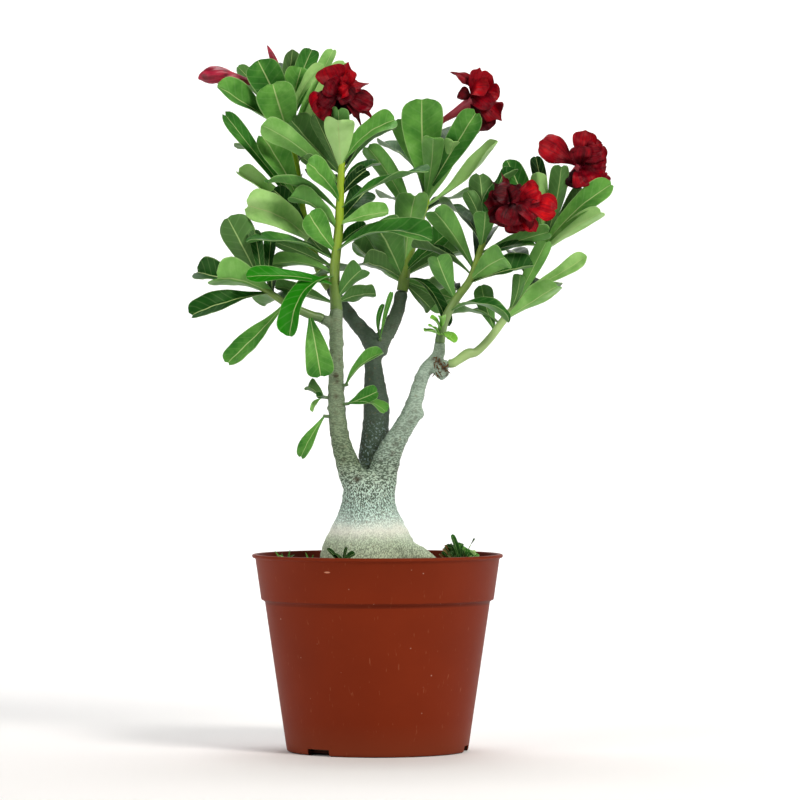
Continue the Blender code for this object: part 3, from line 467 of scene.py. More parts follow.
def set_stops(ramp, stops):
    """Sets the stops of a colour ramp from 0 to 1, each a position and a hex colour or a grey value."""
    for position, _ in stops[1:-1]:
        ramp.elements.new(position)
    for element, (position, colour) in zip(ramp.elements, stops):
        element.position = position
        element.color = linear(colour) if isinstance(colour, str) else (colour, colour, colour, 1)


# Succulent bark, grown: waxy and matt. Pale cream ridges run over a darker grey-green ground in a fine
# maze, upright on the swelling and across at the neck, and brown cork rims each scar.
bark, tree, shader, place = finish_material("waxy grey-green bark", Roughness=0.6, Specular_IOR_Level=0.3)
pale, cork = (add(tree, "Attribute", attribute_name=label).outputs["Fac"] for label in ("pale", "cork"))
height = add(tree, "SeparateXYZ", (place,)).outputs[2]
patch = add(tree, "TexNoise", {"Vector": place, "Scale": 45, "Detail": 3, "Roughness": 0.6})
shift = add(tree, "Math", (patch, 0.012, height), operation="MULTIPLY_ADD")
bands = add(tree, "ValToRGB", (add(tree, "MapRange", (shift, 0.16, 0.46)),))
set_stops(bands.color_ramp, (
    (0, "#b0c09a"), (0.06, "#c2d0ae"), (0.115, "#ccdec2"), (0.15, "#f4f9ec"), (0.185, "#def6ec"),
    (0.215, "#cae8dc"), (0.3, "#cae2d0"), (0.4, "#b4c8b0"), (0.7, "#a2b595"), (1, "#9db07e"),
))
shades = add(tree, "ValToRGB", (pale,))
set_stops(shades.color_ramp, ((0, "#2b3f38"), (0.5, "#7d9070"), (1, "#abc2b2")))
upper = add(tree, "MapRange", (height, 0.238, 0.262))
upright = add(tree, "Mapping", {"Vector": place, "Scale": (1, 1, 0.45)})
upright = add(tree, "TexNoise", {"Vector": upright, "Scale": 1100, "Detail": 1, "Roughness": 0.6})
level = add(tree, "Mapping", {"Vector": place, "Scale": (0.4, 0.4, 1)})
level = add(tree, "TexNoise", {"Vector": level, "Scale": 1000, "Detail": 1, "Roughness": 0.6})
neck = add(tree, "MapRange", (shift, 0.244, 0.254))
maze_noise = add(tree, "Mix", {0: neck, 2: upright, 3: level}, data_type="FLOAT")
maze = add(tree, "MapRange", (maze_noise, 0.48, 0.55, 1, 0))
depth = add(tree, "ValToRGB", (add(tree, "MapRange", (shift, 0.16, 0.4)),))
set_stops(depth.color_ramp, (
    (0, 0.62), (0.12, 0.58), (0.19, 0.2), (0.25, 0.75), (0.32, 0.95), (0.44, 0.8), (0.6, 0.4), (1, 0.22),
))
sunk = add(tree, "Math", (maze, depth), operation="MULTIPLY")
fleck_noise = add(tree, "TexNoise", {"Vector": place, "Scale": 230, "Detail": 3, "Roughness": 0.7})
flecks = add(tree, "MapRange", (fleck_noise, 0.6, 0.7, 0, 0.45))
speck_noise = add(tree, "TexNoise", {"Vector": place, "Scale": 520, "Detail": 2})
specks = add(tree, "MapRange", (speck_noise, 0.56, 0.64))
for limits in ((height, 0.31, 0.26, 0, 0.6), (pale, 0.42, 0.25)):
    specks = add(tree, "Math", (specks, add(tree, "MapRange", limits)), operation="MULTIPLY")
corky = add(tree, "Math", (cork, 0.75), operation="MULTIPLY", use_clamp=True)
base = add(tree, "Mix", {0: upper, 6: bands, 7: shades}, data_type="RGBA")
layers = ((sunk, "#2c3f2c"), (flecks, "#7a6f4c"), (specks, "#b4cfd4"), (corky, "#3a2c1a"))
coat(tree, shader, base, layers, maze_noise, 0.6, 0.0008)
fused.materials.append(bark)
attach(caudex, "root")
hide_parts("caudex")

# Torn stump. The old cut stub on the right trunk has dried out and split, and dark slivers of it stand
# and hang round the break.


def mottled(name, dark, light, clouds, relief=(), **values):
    """A material of two tones mixed by one noise, which can also raise its surface."""
    made, tree, shader, place = finish_material(name, **values)
    clouds = add(tree, "TexNoise", {"Vector": place, **clouds})
    coat(tree, shader, linear(dark), ((clouds, light),), clouds if relief else None, *relief)
    return made


# Dry wood, torn across the grain: grey-brown and dull.
dry_wood = mottled(
    "dry splintered wood", "#1e120a", "#7a5a3a", {"Scale": 700, "Detail": 3}, Roughness=0.85, Specular_IOR_Level=0.2
)
SLIVERS = 26
slivers = bmesh.new()
draw = random.Random(8)
for index in range(SLIVERS):
    start = Vector((draw.uniform(50, 63), 0, draw.uniform(338, 354)))
    start = skin.ray_cast((start.x, IN_FRONT, start.z), TO_THE_BACK)[0] or Vector((58, -20, 345))
    lean = Vector((draw.uniform(-0.5, 1), draw.uniform(-0.9, -0.1), draw.uniform(-1, 0.7))).normalized()
    end = start + lean * draw.uniform(2.5, 6) + Vector((0, 0, -1))
    route = ((start + lean * -1, 0.7), (start.lerp(end, 0.5), 0.5), (end, 0.12))
    tube(slivers, [Vector((*spot, radius)) for spot, radius in route], 5)
stump = piece_from("stump_splinters", slivers)
stump.data.materials.append(dry_wood)
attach(stump, "root")
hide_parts("caudex")

# Soil. Moist potting mix a little below the rim, heaped unevenly, with crumbs, bark chips and a few
# grains of perlite on it, all lying loose.
SOIL_LEVEL = 162
SOIL_SIDES = 96
SOIL_WALL = ((76, 4.5), (79.5, 6.5), (98.4, 135), (102, 140), (104.6, SOIL_LEVEL - 1))
# Potting mix, moist: dark peat and fine bark, with no shine.
soil_mix = mottled(
    "moist potting mix", "#1f150d", "#5a4430", {"Scale": 260, "Detail": 5, "Roughness": 0.7},
    relief=(1, 0.002), Roughness=0.95, Specular_IOR_Level=0.2,
)
# Bark chip, composted: fibrous and brown.
bark_chip = mottled(
    "composted bark chip", "#2e1a0e", "#8a5a38", {"Scale": 300, "Detail": 3}, Roughness=0.9, Specular_IOR_Level=0.2
)
# Perlite, blown from volcanic glass: chalky white.
perlite = mottled(
    "white perlite", "#b9b4a8", "#f2efe8", {"Scale": 500, "Detail": 3}, Roughness=0.9, Specular_IOR_Level=0.3
)
earth = bmesh.new()
turns = np.linspace(0, 2 * math.pi, SOIL_SIDES + 1)[:-1]
rings = []
for radius, z in SOIL_WALL:
    rings.append([earth.verts.new((radius * math.cos(turn), radius * math.sin(turn), z)) for turn in turns])
for radius in np.linspace(103, 3, 34):
    ring = []
    for turn in turns:
        x, y = radius * math.cos(turn), radius * math.sin(turn)
        heaped = SOIL_LEVEL + 2 * (math.sin(x * 0.06 + 1) * math.cos(y * 0.07) + 0.5 * math.sin(x * 0.13 + y * 0.11))
        rough = 1.3 * noise.noise(Vector((x * 0.14, y * 0.14, 5))) + 0.7 * noise.noise(Vector((x * 0.5, y * 0.5, 1)))
        ring.append(earth.verts.new((x, y, heaped + rough)))
    rings.append(ring)
bridge(earth, rings)
soil = piece_from("potting_soil", earth)
soil.data.shade_smooth()
soil.data.materials.append(soil_mix)

# What lies on the soil: how many to the square metre, how large in millimetres and of what.
LOOSE = (
    ("Crumb", 75000.0, (1.7, 1.5, 1.2), soil_mix),
    ("Chip", 9000.0, (4, 2.2, 1.1), bark_chip),
    ("Grain", 4000.0, (1.5, 1.4, 1.3), perlite),
)
FULL_TURN = 6.28
loose_sockets, loose_values = [], {}
for kind, density, size, material in LOOSE:
    loose_sockets += [(kind + " Density", "Float"), (kind + " Size", "Vector"), (kind + " Material", "Material")]
    loose_values[kind + " Density"] = density
    loose_values[kind + " Size"] = tuple(part * MM for part in size)
    loose_values[kind + " Material"] = material
tree, given, out = tree_with("scattered_crumbs", loose_sockets)
facing_up = add(tree, "SeparateXYZ", (add(tree, "GeometryNodeInputNormal"),))
on_top = add(tree, "Math", (facing_up.outputs[2], 0.6), operation="GREATER_THAN")
joined = add(tree, "GeometryNodeJoinGeometry", (given.outputs["Geometry"],))
for seed, (kind, *_) in enumerate(LOOSE):
    points_on = add(
        tree, "GeometryNodeDistributePointsOnFaces",
        {
            "Mesh": given.outputs["Geometry"], "Selection": on_top, "Density": given.outputs[kind + " Density"],
            "Seed": seed,
        },
    )
    lump = add(tree, "GeometryNodeMeshIcoSphere", {"Radius": 1, "Subdivisions": 1})
    lump = add(
        tree, "GeometryNodeStoreNamedAttribute", {"Geometry": lump, "Name": "kind", "Value": seed + 1.0},
        data_type="FLOAT", domain="POINT",
    )
    turn, spread = (
        add(tree, "FunctionNodeRandomValue", {0: (least,) * 3, 1: (most,) * 3, "Seed": own}, data_type="FLOAT_VECTOR")
        for least, most, own in ((0, FULL_TURN, seed), (0.35, 1, seed + 5))
    )
    size = add(tree, "VectorMath", (spread, given.outputs[kind + " Size"]), operation="MULTIPLY")
    copies = add(
        tree, "GeometryNodeInstanceOnPoints",
        {"Points": points_on, "Instance": lump, "Rotation": turn, "Scale": size},
    )
    feed(tree, joined, (copies,))
coated = add(tree, "GeometryNodeRealizeInstances", (joined,))
kind_of = add(tree, "GeometryNodeInputNamedAttribute", {"Name": "kind"}, data_type="FLOAT")
for seed, (kind, *_) in enumerate(LOOSE):
    chosen = add(tree, "Math", (kind_of, seed + 1, 0.1), operation="COMPARE")
    coated = add(
        tree, "GeometryNodeSetMaterial",
        {"Geometry": coated, "Selection": chosen, "Material": given.outputs[kind + " Material"]},
    )
feed(tree, out, (coated,))
grown(soil, tree, loose_values)
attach(soil, "root")
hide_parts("soil")

# Leafy shoots. Each is a green succulent stem with leaves set spirally and crowded towards its tip:
# waxy spoon-shaped blades with a pale midrib, folded a little along it and arched by their own weight.
LEAF_OUTLINE = (
    (0, 0.16), (0.06, 0.15), (0.14, 0.24), (0.3, 0.48), (0.48, 0.74), (0.64, 0.91), (0.79, 1), (0.88, 0.98),
    (0.93, 0.9), (0.96, 0.78), (0.985, 0.6), (1, 0.36),
)


def blade_tree(name, outline):
    """A tree that lays a thin closed blade of this outline from each loose point, and a tube on each path."""
    tree, given, out = tree_with(
        name,
        (
            ("Columns", "Int"), ("Rows", "Int"), ("Thickness", "Float"), ("Waves", "Float"), ("Crinkle", "Float"),
            ("Sides", "Int"), ("Blade", "Material"), ("Stem", "Material"),
        ),
    )
    slab = add(
        tree, "GeometryNodeMeshCube",
        {
            "Size": (1, 1, 1), "Vertices X": given.outputs["Columns"], "Vertices Y": given.outputs["Rows"],
            "Vertices Z": 2,
        },
    )
    corner = add(tree, "SeparateXYZ", (add(tree, "GeometryNodeInputPosition"),))
    across = add(tree, "Math", (corner.outputs[0], 2), operation="MULTIPLY")
    along = add(tree, "Math", (0.5, corner.outputs[1]), operation="SUBTRACT")
    along = add(tree, "Math", (along, 1.35), operation="POWER")
    along = add(tree, "Math", (1, along), operation="SUBTRACT")
    layer = add(tree, "Math", (corner.outputs[2], 2), operation="MULTIPLY")
    for label, value in (("across", across), ("along", along), ("layer", layer)):
        slab = add(
            tree, "GeometryNodeStoreNamedAttribute", {"Geometry": slab, "Name": label, "Value": value},
            data_type="FLOAT", domain="POINT",
        )
    # Every value from here on by its name: the tree's own inputs, and what each point and blade carries.
    values = {socket.name: socket for socket in given.outputs if socket.name}
    for kind, labels in (
        ("FLOAT", ("across", "along", "layer", "twist", "girth", "notch")),
        ("FLOAT_VECTOR", ("root", "knee", "tip", "up", "shape", "lean")),
    ):
        for label in labels:
            values[label] = add(tree, "GeometryNodeInputNamedAttribute", {"Name": label}, data_type=kind)
    for label, parts in (("shape", ("width", "fold", "wave")), ("lean", ("phase", "sway", "curl"))):
        values.update(zip(parts, add(tree, "SeparateXYZ", (values[label],)).outputs))
    is_blade = add(tree, "Math", (values["width"], 0), operation="GREATER_THAN")
    parts = add(
        tree, "GeometryNodeSeparateGeometry", {"Geometry": values["Geometry"], "Selection": is_blade}, domain="POINT"
    )
    copies = add(tree, "GeometryNodeInstanceOnPoints", {"Points": parts.outputs[0], "Instance": slab})
    blades = add(tree, "GeometryNodeRealizeInstances", (copies,))
    values["outline"] = add(tree, "FloatCurve", {"Value": values["along"]})
    knots = values["outline"].mapping.curves[0].points
    knots[0].location, knots[1].location = outline[0], outline[-1]
    for spot in outline[1:-1]:
        knots.new(*spot)
    values["outline"].mapping.update()
    grid = add(tree, "CombineXYZ", (values["along"], values["across"], values["phase"]))
    grid = add(tree, "VectorMath", (grid, (5, 1.6, 1)), operation="MULTIPLY")
    values["crease"] = add(tree, "TexNoise", {"Vector": grid, "Scale": 1, "Detail": 1})
    for label, operation, *terms in (
        # The end of the blade is rounded back at its edges and notched, or drawn out, at its midrib.
        ("square", "MULTIPLY", "across", "across"),
        ("inner", "SUBTRACT", 1, "square"),
        ("inner", "POWER", "inner", 3),
        ("dip", "MULTIPLY", "inner", "notch"),
        ("dip", "MULTIPLY_ADD", "square", 0.02, "dip"),
        ("late", "POWER", "along", 9),
        ("dip", "MULTIPLY", "dip", "late"),
        ("run", "SUBTRACT", "along", "dip"),
        # It is folded along the midrib, and waves and creases run over it.
        ("half", "MULTIPLY", "outline", "width"),
        ("half", "MULTIPLY", "half", 0.5),
        ("vee", "ADD", "square", 0.03),
        ("vee", "POWER", "vee", 0.5),
        ("vee", "SUBTRACT", "vee", 0.17),
        ("vee", "MULTIPLY", "vee", "fold"),
        ("beat", "MULTIPLY_ADD", "along", "Waves", "phase"),
        ("beat", "MULTIPLY_ADD", "across", 1.7, "beat"),
        ("ripple", "SINE", "beat"),
        ("ripple", "MULTIPLY", "ripple", "wave"),
        ("ripple", "MULTIPLY_ADD", "ripple", "square", "vee"),
        ("crease", "SUBTRACT", "crease", 0.5),
        ("crease", "MULTIPLY_ADD", "crease", "Crinkle", "ripple"),
        ("lift", "MULTIPLY", "crease", "half"),
        # It curls towards its tip, thins towards its edges, sways to one side and twists.
        ("bend", "POWER", "along", 3),
        ("lift", "MULTIPLY_ADD", "bend", "curl", "lift"),
        ("thin", "MULTIPLY_ADD", "square", -0.55, 1),
        ("thin", "MULTIPLY", "thin", "Thickness"),
        ("thin", "MULTIPLY", "thin", "layer"),
        ("lift", "MULTIPLY_ADD", "thin", 0.5, "lift"),
        ("arc", "MULTIPLY", "along", math.pi),
        ("arc", "SINE", "arc"),
        ("arc", "MULTIPLY", "arc", "sway"),
        ("aside", "MULTIPLY_ADD", "across", "half", "arc"),
        ("turn", "MULTIPLY", "twist", "along"),
    ):
        values[label] = add(tree, "Math", [values.get(term, term) for term in terms], operation=operation)
    # The midrib is a quadratic curve from the root past the knee to the tip.
    near, far = (
        add(tree, "Mix", {0: values["run"], 4: values[start], 5: values[end]}, data_type="VECTOR", clamp_factor=False)
        for start, end in (("root", "knee"), ("knee", "tip"))
    )
    spot = add(tree, "Mix", {0: values["run"], 4: near, 5: far}, data_type="VECTOR", clamp_factor=False)
    onward = add(tree, "VectorMath", (far, near), operation="SUBTRACT")
    tangent = add(tree, "VectorMath", (onward,), operation="NORMALIZE")
    level = add(tree, "VectorMath", (tangent, values["up"]), operation="CROSS_PRODUCT")
    side = add(tree, "VectorMath", (level,), operation="NORMALIZE")
    normal = add(tree, "VectorMath", (side, tangent), operation="CROSS_PRODUCT")
    for way, reach in ((side, "aside"), (normal, "lift")):
        way = add(tree, "VectorRotate", {"Vector": way, "Axis": tangent, "Angle": values["turn"]})
        way = add(tree, "VectorMath", {0: way, "Scale": values[reach]}, operation="SCALE")
        spot = add(tree, "VectorMath", (spot, way), operation="ADD")
    laid = add(tree, "GeometryNodeSetPosition", {"Geometry": blades, "Position": spot})
    path = add(tree, "GeometryNodeMeshToCurve", {"Mesh": parts.outputs[1]})
    hoop = add(tree, "GeometryNodeCurvePrimitiveCircle", {"Resolution": values["Sides"], "Radius": 1})
    rod = add(
        tree, "GeometryNodeCurveToMesh",
        {"Curve": path, "Profile Curve": hoop, "Scale": values["girth"], "Fill Caps": True},
    )
    both = add(tree, "GeometryNodeJoinGeometry")
    for part in (rod, laid):
        feed(tree, both, (add(tree, "GeometryNodeSetShadeSmooth", (part,)),))
    real = add(tree, "GeometryNodeRealizeInstances", (both,))
    coated = add(tree, "GeometryNodeSetMaterial", {"Geometry": real, "Material": values["Blade"]})
    on_rod = add(tree, "Math", (values["girth"], 0), operation="GREATER_THAN")
    coated = add(
        tree, "GeometryNodeSetMaterial", {"Geometry": coated, "Selection": on_rod, "Material": values["Stem"]}
    )
    feed(tree, out, (coated,))
    return tree


leaf_tree = blade_tree("spoon_leaves", LEAF_OUTLINE)


def facing(way):
    """The way a leaf's upper face looks: 0 is up, 90 is to the front and -90 is to the back."""
    if isinstance(way, tuple):
        return Vector(way)
    angle = math.radians(way)
    return Vector((0, -math.sin(angle), math.cos(angle)))


def point_at_height(path, height):
    """Where a stem passes this height, or its nearer end."""
    for low_point, high_point in zip(path, path[1:]):
        if low_point[2] <= height <= high_point[2]:
            return low_point.lerp(high_point, (height - low_point[2]) / (high_point[2] - low_point[2])).xyz
    return path[0 if height < path[0][2] else -1].xyz


def seed_mesh(name, paths, blades):
    """The points that a blade tree grows from: paths of x, y, z and radius, and a loose point for each blade."""
    spots, edges, carried = [], [], []
    for path in paths:
        edges += [(len(spots) + index, len(spots) + index + 1) for index in range(len(path) - 1)]
        spots += [point.xyz * MM for point in path]
        carried += [{"girth": point[3] * MM, "tone_and_shade": 0.5} for point in path]
    spots += [blade["root"] for blade in blades]
    mesh = bpy.data.meshes.new(name)
    mesh.from_pydata(spots, edges, [])
    carried += blades
    for label in ("girth", "twist", "tone_and_shade", "notch"):
        values = [point.get(label, 0) for point in carried]
        mesh.attributes.new(label, "FLOAT", "POINT").data.foreach_set("value", values)
    for label in ("root", "knee", "tip", "up", "shape", "lean"):
        values = [part for point in carried for part in point.get(label, (0, 0, 0))]
        mesh.attributes.new(label, "FLOAT_VECTOR", "POINT").data.foreach_set("vector", values)
    return mesh


def blade(root, tip, width, up, bow, draw, tone_and_shade, **form):
    """What one blade's point carries, from its root to its tip, with its own small differences drawn."""
    form = {"fold": 0.62, "wave": 0.16, "twist": 0.3, "sway": 2.5, "curl": 3, "notch": 0.035, **form}
    root, tip = Vector(root), Vector(tip)
    along = (tip - root) / (1 + max(-form["notch"], 0))
    tip = root + along
    up = (up - along * (up.dot(along) / along.length_squared)).normalized()
    fold, wave = form["fold"] * draw.uniform(0.5, 1.4), form["wave"] * draw.uniform(0.4, 1.6)
    phase, sway = draw.uniform(0, FULL_TURN), draw.uniform(-form["sway"], form["sway"])
    curl = draw.uniform(-form["curl"], 0.4 * form["curl"])
    return {
        "root": root * MM,
        "knee": ((root + tip) / 2 + up * (2 * bow * along.length)) * MM,
        "tip": tip * MM,
        "up": up,
        "shape": (width * MM, fold, wave),
        "lean": (phase, sway * MM, curl * MM),
        "twist": draw.uniform(-form["twist"], form["twist"]),
        "notch": form["notch"],
        "tone_and_shade": tone_and_shade,
    }


def leafy(name, paths, blades, tree, sizes, sharp=55):
    """A piece grown from its paths and blades, with an edge where it folds harder than this many degrees."""
    piece = grown(new_piece(name, seed_mesh(name, paths, blades)), tree, sizes)
    piece.data.set_sharp_from_angle(angle=math.radians(sharp))
    return piece


# Waxy leaf, grown: a soft gloss on deep green, a pale raised midrib, faint side veins, paler beneath, and a painted
# sheen along the edge.
leaf_wax, tree, shader, place = finish_material(
    "waxy leaf", Roughness=0.4, Specular_IOR_Level=0.28, Specular_Tint=linear("#a6d88e"),
    Subsurface_Weight=0.03, Subsurface_Scale=1, Subsurface_Radius=(0.0012, 0.002, 0.0006),
)
across, along, layer, tone_and_shade = (
    add(tree, "Attribute", attribute_name=label).outputs["Fac"] for label in ("across", "along", "layer", "tone_and_shade")
)
mottle = add(tree, "TexNoise", {"Vector": place, "Scale": 90, "Detail": 4, "Roughness": 0.6})
cloud = add(tree, "TexNoise", {"Vector": place, "Scale": 32, "Detail": 1})
# The tone starts from each blade's given shade: its own tone with painted shade for blades deep in the crown.
tone = add(tree, "Math", (tone_and_shade, 1.08, -0.4), operation="MULTIPLY_ADD")
for clouds, share in ((mottle, 0.26), (cloud, 0.34)):
    tone = add(tree, "Math", (clouds, share, tone), operation="MULTIPLY_ADD")
tone = add(tree, "Math", (tone, 1.3, -0.16), operation="MULTIPLY_ADD")
base = add(tree, "ValToRGB", (tone,))
set_stops(base.color_ramp, (
    (0, "#0a2c0c"), (0.22, "#1d4e18"), (0.42, "#38752a"), (0.61, "#68a448"), (0.8, "#a2d07c"), (1, "#bade96"),
))
fresh = add(tree, "MapRange", (tone_and_shade, 1.1, 1.2, 0, 0.85))
vivid = add(tree, "MapRange", (tone_and_shade, 1.4, 1.6))
withered = add(tree, "MapRange", (tone_and_shade, -0.4, -0.6))
off = add(tree, "Math", (across,), operation="ABSOLUTE")
vein_slope = add(tree, "Math", (off, -9), operation="MULTIPLY")
vein_beat = add(tree, "Math", (along, 62, vein_slope), operation="MULTIPLY_ADD")
vein_wave = add(tree, "Math", (vein_beat,), operation="SINE")
veins = add(tree, "MapRange", (vein_wave, 0.7, 1, 0, 0.09))
rib_width = add(tree, "Math", (along, -0.075, 0.105), operation="MULTIPLY_ADD")
rib = add(tree, "MapRange", (off, rib_width, 0.02, 0, 0.85))
# Painted sheen: a pale band along the leaf's edge.
edge_sheen = add(tree, "MapRange", (off, 0.93, 1, 0, 0.5))
under = add(tree, "MapRange", (layer, 0.2, -0.2, 0, 0.3))
layers = (
    (fresh, "#6cb41e"), (vivid, "#1f7c0e"), (withered, "#6e4428"), (veins, "#9cc27a"), (rib, "#b9d08a"),
    (edge_sheen, "#b2cf8d"), (under, "#84b468"),
)
swell = add(tree, "Math", (rib, -1, veins), operation="MULTIPLY_ADD")
coat(tree, shader, base, layers, swell, 0.35, 0.0006)

# Green stem, grown: smooth and waxy, yellow-green at the tip and greyer low down, pale on the outer right.
stem_skin, tree, shader, place = finish_material("green stem", Roughness=0.45, Specular_IOR_Level=0.45)
spot = add(tree, "SeparateXYZ", (place,))
rise = add(tree, "MapRange", (spot.outputs[2], 0.38, 0.5))
stem_noise = add(tree, "TexNoise", {"Vector": place, "Scale": 160, "Detail": 4})
climb = add(tree, "Math", (stem_noise, 0.4, rise), operation="MULTIPLY_ADD")
climb = add(tree, "Math", (climb, 0.2), operation="SUBTRACT")
outer = add(tree, "MapRange", (spot.outputs[0], 0.056, 0.07, 0, 0.8))
low = add(tree, "MapRange", (spot.outputs[2], 0.41, 0.38))
outer = add(tree, "Math", (outer, low), operation="MULTIPLY")
coat(tree, shader, linear("#557245"), ((climb, "#98b822"), (outer, "#a5c47c")), stem_noise, 0.3, 0.001)
